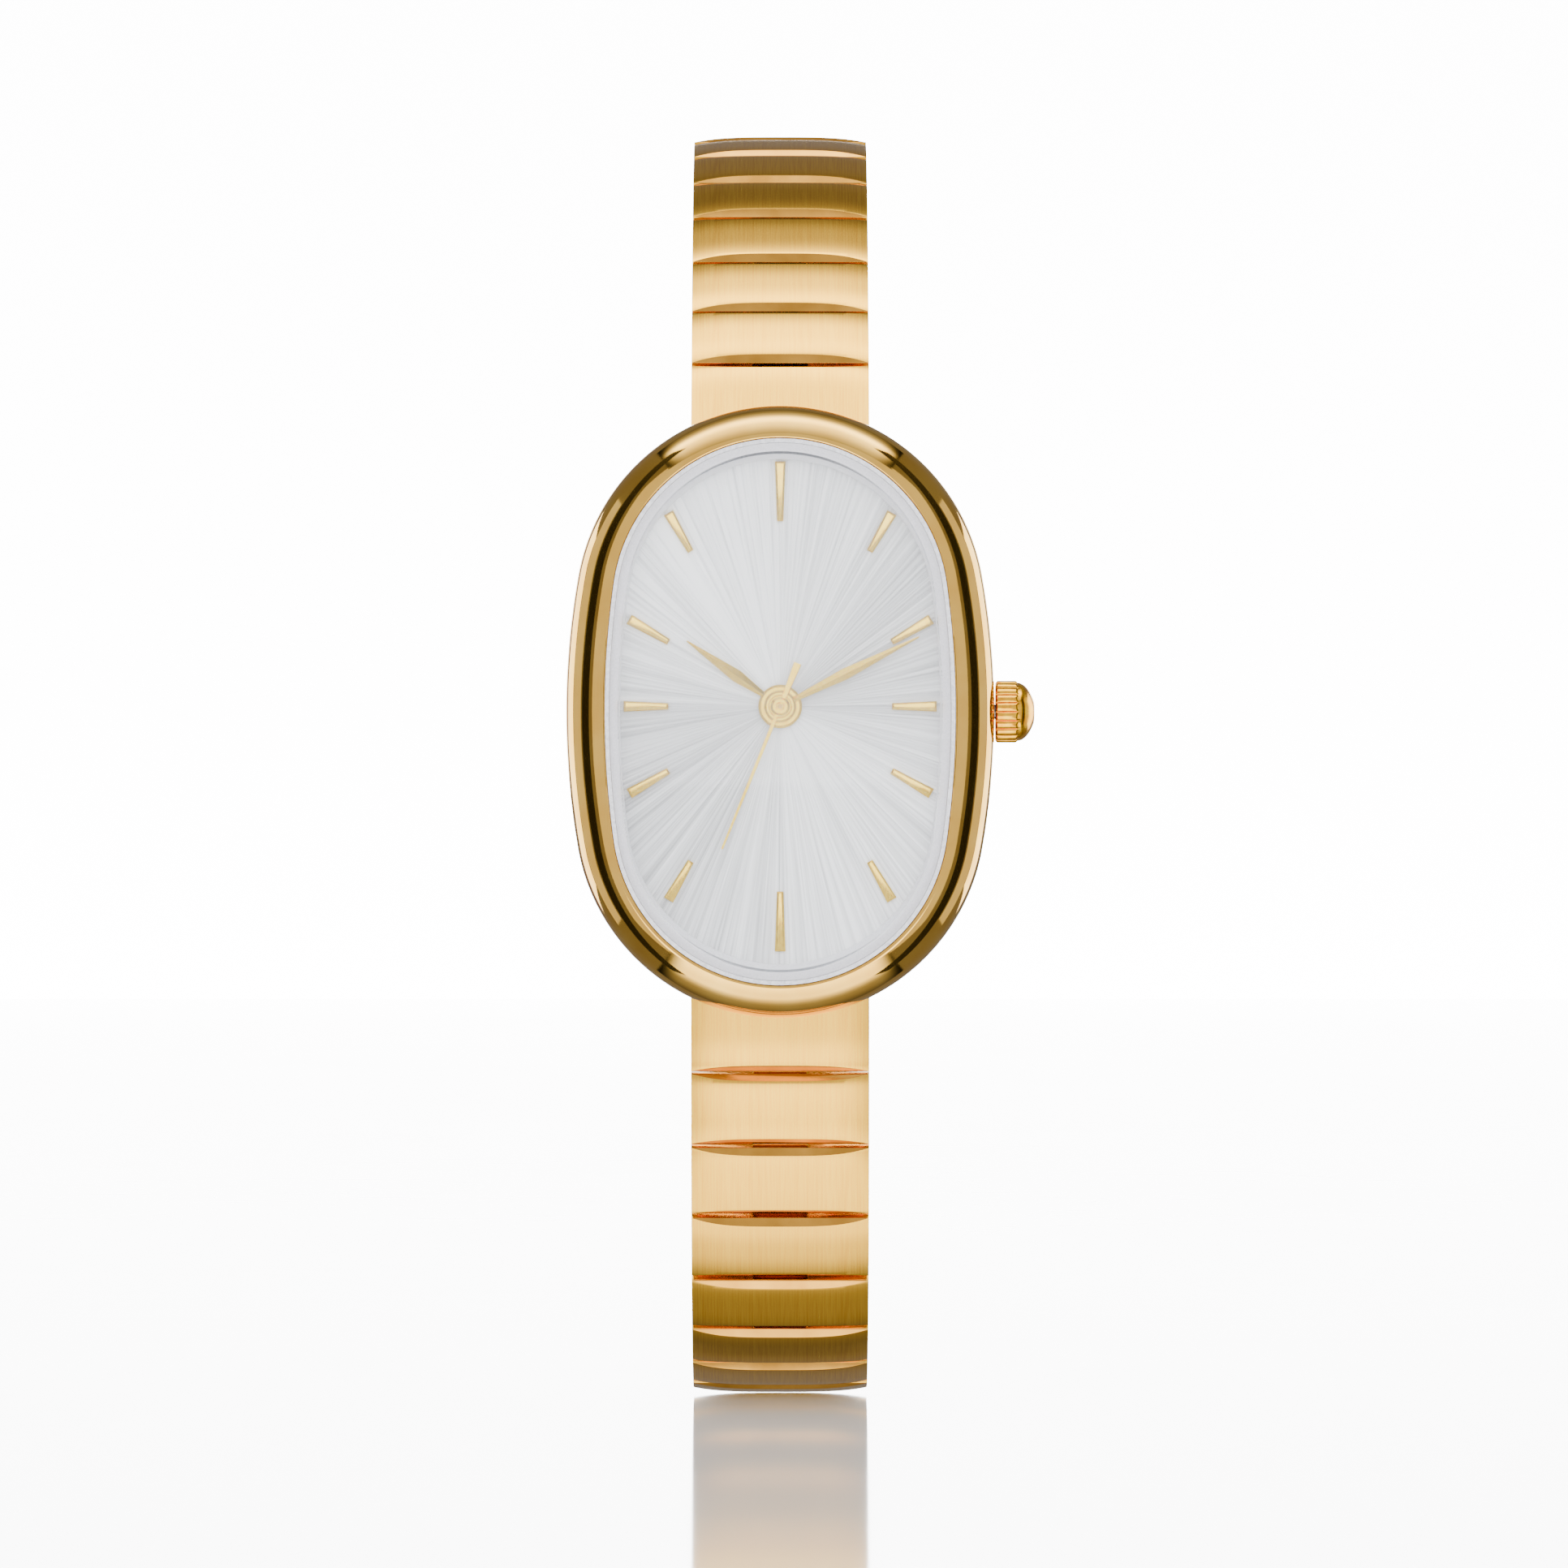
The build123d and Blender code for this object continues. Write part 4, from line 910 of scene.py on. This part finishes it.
def lug_part(half, start, pivot, radius=LUG_RADIUS):
    """Lug with a rounded nose at the pivot."""
    outline = [Vector((-half, start, -radius)), Vector((-half, pivot, -radius))]
    for step in range(1, LUG_STEPS):
        turn = math.radians(-90 + 180 * step / LUG_STEPS)
        outline.append(Vector((-half, pivot + radius * math.cos(turn), radius * math.sin(turn))))
    outline += [Vector((-half, pivot, radius)), Vector((-half, start, radius))]
    bm = bmesh.new()
    skin(bm, [outline, [point + Vector((2 * half, 0, 0)) for point in outline]])
    return plain_part(bm)


def combine(body, steps):
    """Apply a row of (operation, part) booleans to a body and return its mesh."""
    for operation, part in steps:
        change = body.modifiers.new("step", "BOOLEAN")
        change.operation = operation
        change.solver = "EXACT"
        change.object = part
    mesh = baked(body)
    for _operation, part in steps:
        bpy.data.objects.remove(part)
    return mesh


def finished_link(mesh, edge_round):
    """Round a link's edges and give it the brushing map, in millimetres along and across."""
    bm = bmesh.new()
    bm.from_mesh(mesh)
    bmesh.ops.remove_doubles(bm, verts=bm.verts, dist=0.001)
    bevelled(bm, edge_round)
    layer = bm.loops.layers.uv.new("brushing")
    for face in bm.faces:
        for corner in face.loops:
            corner[layer].uv = (corner.vert.co.x, corner.vert.co.y)
    bm.to_mesh(mesh)
    bm.free()
    return mesh


def link_mesh(sizes, lug=True):
    """A strap link with its pocket, pin and lug, pivot at the origin."""
    near = HALF_GAP - PIN_INSET
    far = LINK_PITCH - PIN_INSET - HALF_GAP
    half = sizes.tongue_width / 2
    side = half + POCKET_SLACK
    bm = arched_bar(sizes.width, near, far)
    link_ends(bm, near, far, sizes.bevel)
    pocket = box_part((-side, near - POCKET_OVERRUN, -LINK_CUT_UNDER), (side, POCKET_REACH, POCKET_TOP))
    steps = [("DIFFERENCE", pocket), ("UNION", bar_part(PIN_RADIUS, half + PIN_BITE))]
    if lug:
        steps += [
            ("UNION", lug_part(half, far - SET_BACK, LINK_PITCH)),
            ("DIFFERENCE", bar_part(PIN_HOLE_RADIUS, half + BORE_OVERRUN, LINK_PITCH)),
        ]
    return finished_link(combine(plain_part(bm), steps), sizes.edge_round)


def end_link_mesh(sizes):
    """The link at the case, with its knuckle on the spring bar."""
    far = END_LINK_LENGTH - PIN_INSET - HALF_GAP
    half = sizes.tongue_width / 2
    bm = arched_bar(sizes.width, END_LINK_START, far, far - LINK_PITCH / 2)
    link_ends(bm, None, far, sizes.bevel)
    slice_off(bm, (0, 0, END_CUT_LEVEL), END_CUT_NORMAL)
    steps = [
        ("UNION", bar_part(KNUCKLE_RADIUS, sizes.width / 2, 0.0, 40)),
        ("UNION", lug_part(half, far - SET_BACK, END_LINK_LENGTH)),
        ("DIFFERENCE", bar_part(PIN_HOLE_RADIUS, half + BORE_OVERRUN, END_LINK_LENGTH)),
        ("UNION", bar_part(SPRING_BAR_RADIUS, SPRING_BAR_HALF, 0.0, 24)),
    ]
    return finished_link(combine(plain_part(bm), steps), sizes.edge_round)


def strap_frames():
    """Matrix of each link, from its own millimetre frame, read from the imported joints."""
    found = {}
    for upper, first in ((True, "upper_end_link"), (False, "lower_end_link")):
        body, tilt = first, 0.0
        while body:
            joint = joints[body]
            tilt += joint["range_deg"][1]
            lean = math.radians(tilt)
            side = 1 if upper else -1
            across = Vector((side, 0, 0))
            along = Vector((0, math.sin(lean), side * math.cos(lean)))
            outward = Vector((0, -math.cos(lean), side * math.sin(lean)))
            spot = Vector(joint["pos_m"])
            matrix = Matrix((across, along, outward)).transposed().to_4x4()
            found[body] = Matrix.Translation(spot) @ matrix @ Matrix.Scale(MM, 4)
            following = (child for child, item in joints.items() if item["parent"] == body)
            body = next((child for child in following if child != "clasp_flap"), None)
    return found


class WATCH_OT_strap(bpy.types.Operator):
    """Every link of the strap, brushed along its length with polished end bevels"""

    bl_idname = "watch.strap"
    bl_label = "Strap links"

    def execute(self, context):
        sizes = context.scene.watch_strap
        shapes = {"link": link_mesh(sizes), "end": end_link_mesh(sizes), "catch": link_mesh(sizes, lug=False)}
        for body, matrix in strap_frames().items():
            if body == "clasp_body":
                continue
            kind = "end" if "end" in body else "catch" if "catch" in body else "link"
            mesh = shapes[kind].copy()
            mesh.name = body + "_brushed"
            mesh.transform(matrix)
            place_mesh(mesh, body + "_brushed", ["strap", "bevel", "edge"], body, [body], 28.0)
        return {"FINISHED"}


class WATCH_OT_clasp(bpy.types.Operator):
    """Clasp body and flap with softened edges"""

    bl_idname = "watch.clasp"
    bl_label = "Clasp"

    def execute(self, context):
        into_clasp = strap_frames()["clasp_body"].inverted()
        for node in ("clasp_body", "clasp_flap"):
            bm = merged_copy(node)
            bevelled(bm, CLASP_ROUND * MM)
            layer = bm.loops.layers.uv.new("brushing")
            for face in bm.faces:
                for corner in face.loops:
                    spot = into_clasp @ corner.vert.co
                    corner[layer].uv = (spot.x, spot.y)
            to_object(bm, node + "_brushed", ["strap"], node, [node], 28.0)
        return {"FINISHED"}


# Back and movement

class WATCH_OT_movement(bpy.types.Operator):
    """Case back, gaskets and the movement's parts, each in its own finish"""

    bl_idname = "watch.movement"
    bl_label = "Back and movement"

    def execute(self, context):
        bm = merged_copy("case_back")
        bevelled(bm, BACK_ROUND * MM)
        to_object(bm, "case_back_brushed", ["back"], "case", ["case_back"])
        for node, key in (
            ("case_back_gasket", "rubber"), ("main_plate", "plate"), ("train_bridge", "bridge"),
            ("movement_holder", "spacer"), ("battery", "cell"), ("circuit_board", "board"),
            ("stator", "iron"), ("coil", "copper"), ("rotor", "iron"), ("intermediate_wheel", "wheel"),
            ("second_wheel", "wheel"),
            ("third_wheel", "wheel"), ("centre_wheel", "wheel"), ("cannon_pinion", "arbor"),
            ("minute_wheel", "wheel"), ("hour_wheel", "wheel"), ("stem", "arbor"), ("setting_lever", "arbor"),
        ):
            paint(node, key)
        return {"FINISHED"}


# Stage

class WatchStage(bpy.types.PropertyGroup):
    """Camera, lights and floor; a glow is an emission strength."""

    distance: bpy.props.FloatProperty(
        name="Camera distance", description="From the case's crest", default=0.62, unit="LENGTH"
    )
    frame_width: bpy.props.FloatProperty(
        name="Frame width", description="Width seen at the crest", default=0.08742, unit="LENGTH"
    )
    floor_colour: bpy.props.FloatVectorProperty(
        name="Floor colour", description="Table top", default=linear("#F4F4F5")[:3], subtype="COLOR"
    )
    key_glow: bpy.props.FloatProperty(name="Key glow", description="Overhead softbox", default=7.0)
    under_glow: bpy.props.FloatProperty(name="Under glow", description="Softbox below the table", default=6.0)
    backdrop_glow: bpy.props.FloatProperty(
        name="Backdrop glow", description="Lit backdrop behind the watch", default=13.0
    )
    front_power: bpy.props.FloatProperty(
        name="Front wall", description="Dim wall behind the camera", default=13.0, unit="POWER"
    )
    side_power: bpy.props.FloatProperty(
        name="Side lights", description="Each side softbox", default=1.7, unit="POWER"
    )
    wall_power: bpy.props.FloatProperty(
        name="Side walls", description="Each dim side wall", default=0.45, unit="POWER"
    )
    low_power: bpy.props.FloatProperty(
        name="Low front light", description="Softbox low in front", default=2.8, unit="POWER"
    )
    fill_power: bpy.props.FloatProperty(
        name="Front fill", description="Light that only fills shadows", default=15.0, unit="POWER"
    )


# Softbox cloths: place along Y in metres and share of the glow there
KEY_STOPS = (
    (-0.53, 0.1), (-0.36, 0.2), (-0.27, 0.32), (-0.144, 0.55), (-0.08, 0.85), (-0.04, 1.0), (0.0, 0.85),
    (0.031, 0.55), (0.055, 0.35), (0.094, 0.16), (0.18, 0.06), (0.31, 0.02),
)
UNDER_STOPS = (
    (-0.9, 0.75), (-0.61, 0.8), (-0.46, 0.7), (-0.31, 0.6), (-0.198, 0.6), (-0.119, 0.28), (-0.054, 0.13),
    (0.0, 0.08), (0.18, 0.04), (0.31, 0.02),
)
# Area lights: place, width and height in metres, the setting with the power, and whether metal mirrors it
LAMPS = {
    "front_wall": ((0, -1.2, 0.1), 2.4, 2.0, "front_power", True),
    "side_left": ((-0.41, 0.287, 0.0), 0.26, 0.4, "side_power", True),
    "wall_left": ((-0.5, 0.035, 0.0), 0.25, 0.7, "wall_power", True),
    "side_right": ((0.41, 0.287, 0.0), 0.26, 0.4, "side_power", True),
    "wall_right": ((0.5, 0.035, 0.0), 0.25, 0.7, "wall_power", True),
    "front_low": ((0, -1.1, -0.37), 0.8, 0.28, "low_power", True),
    "front_fill": ((0, -0.9, 0.4), 1.2, 0.9, "fill_power", False),
}
SOFTBOX_HEIGHT = 0.444
SOFTBOX_HALF = 0.34
SOFTBOX_CLEAR = 0.75  # share of a softbox's half width that glows in full
FLAG_TURN = math.radians(65.3)
FLAG_RADIUS = 0.3
FLAG_SIZE = (0.112, 0.9)
VELVET_PILE = 5 / 3  # in millimetres
FLOOR_GAP = 0.00002
FLOOR_MIDDLE = 0.6
FLOOR_SIZE = (3.0, 3.0)
BACKDROP_PLACE = (0.9, 0.11)
BACKDROP_SIZE = (1.1, 0.3)
BACKDROP_FADE_UP = (0.115, 0.2)
BACKDROP_FADE_OUT = (0.22, 0.42)
# Shift of the camera's frame from the watch's middle, right and up, in pixels of the photograph
PHOTO_SIZE = 1932
PHOTO_SHIFT = (4.7, -89.0)


def area_light(name, spot, width, height, power, mirrored):
    """Soft rectangular light aimed at the watch; one that isn't mirrored only fills shadows."""
    data = bpy.data.lights.new(name, "AREA")
    data.shape = "RECTANGLE"
    data.size, data.size_y, data.energy = width, height, power
    light = bpy.data.objects.new(name, data)
    bpy.context.scene.collection.objects.link(light)
    light.location = spot
    light.rotation_mode = "QUATERNION"
    light.rotation_quaternion = (-Vector(spot)).to_track_quat("-Z", "Y")
    light.visible_camera = False
    light.visible_glossy = mirrored


def panel(name, spot, target, width, height, material):
    """Flat studio board, part of the stage."""
    bm = bmesh.new()
    bmesh.ops.create_grid(bm, x_segments=1, y_segments=1, size=0.5)
    bmesh.ops.scale(bm, vec=(width, height, 1), verts=bm.verts)
    turn = (Vector(target) - Vector(spot)).to_track_quat("-Z", "Y").to_matrix().to_4x4()
    bm.transform(Matrix.Translation(spot) @ turn)
    mesh = bpy.data.meshes.new(name)
    bm.to_mesh(mesh)
    bm.free()
    mesh.materials.append(material)
    board = bpy.data.objects.new(name, mesh)
    bpy.context.scene.collection.objects.link(board)
    board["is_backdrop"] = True
    return board


def softbox(name, height, glow, stops):
    """Level softbox whose cloth glows by its stops along Y and fades at its sides."""
    material, tree, place = new_material(name + " cloth")
    apart = add(tree, "ShaderNodeSeparateXYZ", {"Vector": place}).outputs
    start, end = stops[0][0], stops[-1][0]
    span = {"Value": apart["Y"], "From Min": start, "From Max": end}
    ramp = add(tree, "ShaderNodeValToRGB", {"Fac": add(tree, "ShaderNodeMapRange", span).outputs["Result"]})
    elements = ramp.color_ramp.elements
    for place_along, share in stops[1:-1]:
        elements.new((place_along - start) / (end - start)).color = (share, share, share, 1.0)
    for element, (_place, share) in ((elements[0], stops[0]), (elements[-1], stops[-1])):
        element.color = (share, share, share, 1.0)
    aside = compute(tree, "ABSOLUTE", apart["X"])
    outward = fade(tree, aside, (SOFTBOX_HALF * SOFTBOX_CLEAR, SOFTBOX_HALF), (glow, 0.0))
    strength = compute(tree, "MULTIPLY", ramp.outputs["Color"], outward)
    light = add(tree, "ShaderNodeEmission", {"Strength": strength}).outputs["Emission"]
    add(tree, "ShaderNodeOutputMaterial", {"Surface": light})
    middle = (start + end) / 2
    box = panel(name, (0, middle, height), (0, middle, 0), 2 * SOFTBOX_HALF, end - start, material)
    box.visible_camera = False


def lit_paper(glow):
    """White paper backdrop, lit evenly low down and fading upwards and sideways."""
    material, tree, place = new_material("white paper backdrop")
    fibre = grain(tree, place, 300.0, 2.0)
    apart = add(tree, "ShaderNodeSeparateXYZ", {"Vector": place}).outputs
    upward = fade(tree, apart["Z"], BACKDROP_FADE_UP, (glow, glow * 0.04))
    outward = fade(tree, compute(tree, "ABSOLUTE", apart["X"]), BACKDROP_FADE_OUT, (1.0, 0.06))
    strength = compute(tree, "MULTIPLY", upward, outward)
    finish_material(
        tree, tint(tree, fibre, "#F7F7F7", "#FCFCFC"), 0.0, 0.9,
        **{"Emission Color": linear("#FFFFFF"), "Emission Strength": strength},
    )
    return material


def place_camera(scene, sizes):
    """Camera level with the watch's middle, shifted a little so that the frame is the photograph's."""
    data = bpy.data.cameras.new("camera")
    camera = bpy.data.objects.new("camera", data)
    scene.collection.objects.link(camera)
    camera.location = (0, -CREST * MM - sizes.distance, 0)
    camera.rotation_euler = (math.radians(90), 0, 0)
    data.sensor_width = 36.0
    data.lens = data.sensor_width * sizes.distance / sizes.frame_width
    data.shift_x, data.shift_y = (shift / PHOTO_SIZE for shift in PHOTO_SHIFT)
    data.dof.use_dof = False
    data.clip_start, data.clip_end = 0.01, 10.0
    scene.camera = camera


def light_world(scene):
    """Dim even surroundings for the watch, which the camera sees as white."""
    world = bpy.data.worlds.new("studio")
    scene.world = world
    world.use_nodes = True
    tree = world.node_tree
    tree.nodes.clear()
    seen = add(tree, "ShaderNodeLightPath").outputs["Is Camera Ray"]
    glow = {"Color": linear("#FFFFFF"), "Strength": spread(tree, seen, 0.25, 3.0)}
    sky = add(tree, "ShaderNodeBackground", glow).outputs["Background"]
    add(tree, "ShaderNodeOutputWorld", {"Surface": sky})


class WATCH_OT_stage(bpy.types.Operator):
    """Camera at the photograph's angle, pale floor, softboxes and dark flags"""

    bl_idname = "watch.stage"
    bl_label = "Stage"

    def execute(self, context):
        sizes = context.scene.watch_stage
        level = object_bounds()[0].z - FLOOR_GAP
        place_camera(context.scene, sizes)
        floor_paint, tree, place = new_material("lacquered white table")
        haze = grain(tree, place, 40.0, 2.0)
        finish_material(tree, (*sizes.floor_colour, 1.0), 0.0, spread(tree, haze, 0.06, 0.1))
        under = (0, FLOOR_MIDDLE, level - 1)
        floor = panel("floor", (0, FLOOR_MIDDLE, level), under, *FLOOR_SIZE, floor_paint)
        # The table top is left out of mirror images and shadows, so that the gold shows the light below it
        floor.visible_glossy = False
        floor.visible_shadow = False
        away, height = BACKDROP_PLACE
        panel("backdrop", (0, away, height), (0, 0, height), *BACKDROP_SIZE, lit_paper(sizes.backdrop_glow))
        # Black and matt from every side
        velvet = grained(
            "black velvet flag", "#050505", "#0A0A0A", 0.0, (0.95, 0.95), VELVET_PILE, bump=0.0, detail=2.0
        )
        for name, side in (("flag_left", -1), ("flag_right", 1)):
            spot = (side * FLAG_RADIUS * math.sin(FLAG_TURN), -FLAG_RADIUS * math.cos(FLAG_TURN), 0.0)
            panel(name, spot, (0, 0, 0), *FLAG_SIZE, velvet).visible_camera = False
        softbox("key_overhead", SOFTBOX_HEIGHT, sizes.key_glow, KEY_STOPS)
        softbox("under_table", -SOFTBOX_HEIGHT, sizes.under_glow, UNDER_STOPS)
        for name, (spot, width, height, setting, mirrored) in LAMPS.items():
            area_light(name, spot, width, height, getattr(sizes, setting), mirrored)
        light_world(context.scene)
        return {"FINISHED"}


class WATCH_PT_panel(bpy.types.Panel):
    """Lists the pieces of the watch"""

    bl_idname = "WATCH_PT_panel"
    bl_label = "Oval bracelet watch"
    bl_space_type = "VIEW_3D"
    bl_region_type = "UI"
    bl_category = "Watch"

    def draw(self, context):
        for name in ("case", "glass", "dial", "hands", "crown", "strap", "clasp", "movement", "stage"):
            self.layout.operator("watch." + name)
        for group in GROUPS:
            column = self.layout.column()
            settings = getattr(context.scene, group)
            for name in settings.bl_rna.properties.keys():
                if name not in ("rna_type", "name"):
                    column.prop(settings, name)


GROUPS = {
    "watch_case": WatchCaseSizes, "watch_hands": WatchHandSizes, "watch_crown": WatchCrownSizes,
    "watch_strap": WatchStrapSizes, "watch_stage": WatchStage,
}
CLASSES = (
    *GROUPS.values(), WATCH_OT_case, WATCH_OT_glass, WATCH_OT_dial, WATCH_OT_hands, WATCH_OT_crown,
    WATCH_OT_strap, WATCH_OT_clasp, WATCH_OT_movement, WATCH_OT_stage, WATCH_PT_panel,
)


def register():
    """Add the classes and the scene's settings."""
    for item in CLASSES:
        bpy.utils.register_class(item)
    for name, group in GROUPS.items():
        setattr(bpy.types.Scene, name, bpy.props.PointerProperty(type=group))


def unregister():
    """Take them away again."""
    for name in GROUPS:
        delattr(bpy.types.Scene, name)
    for item in reversed(CLASSES):
        bpy.utils.unregister_class(item)


def main():
    """Build every piece."""
    register()
    finishes.update(make_materials())
    for build in (
        bpy.ops.watch.case, bpy.ops.watch.glass, bpy.ops.watch.dial, bpy.ops.watch.hands, bpy.ops.watch.crown,
        bpy.ops.watch.strap, bpy.ops.watch.clasp, bpy.ops.watch.movement, bpy.ops.watch.stage,
    ):
        build()


if __name__ == "__main__":
    main()
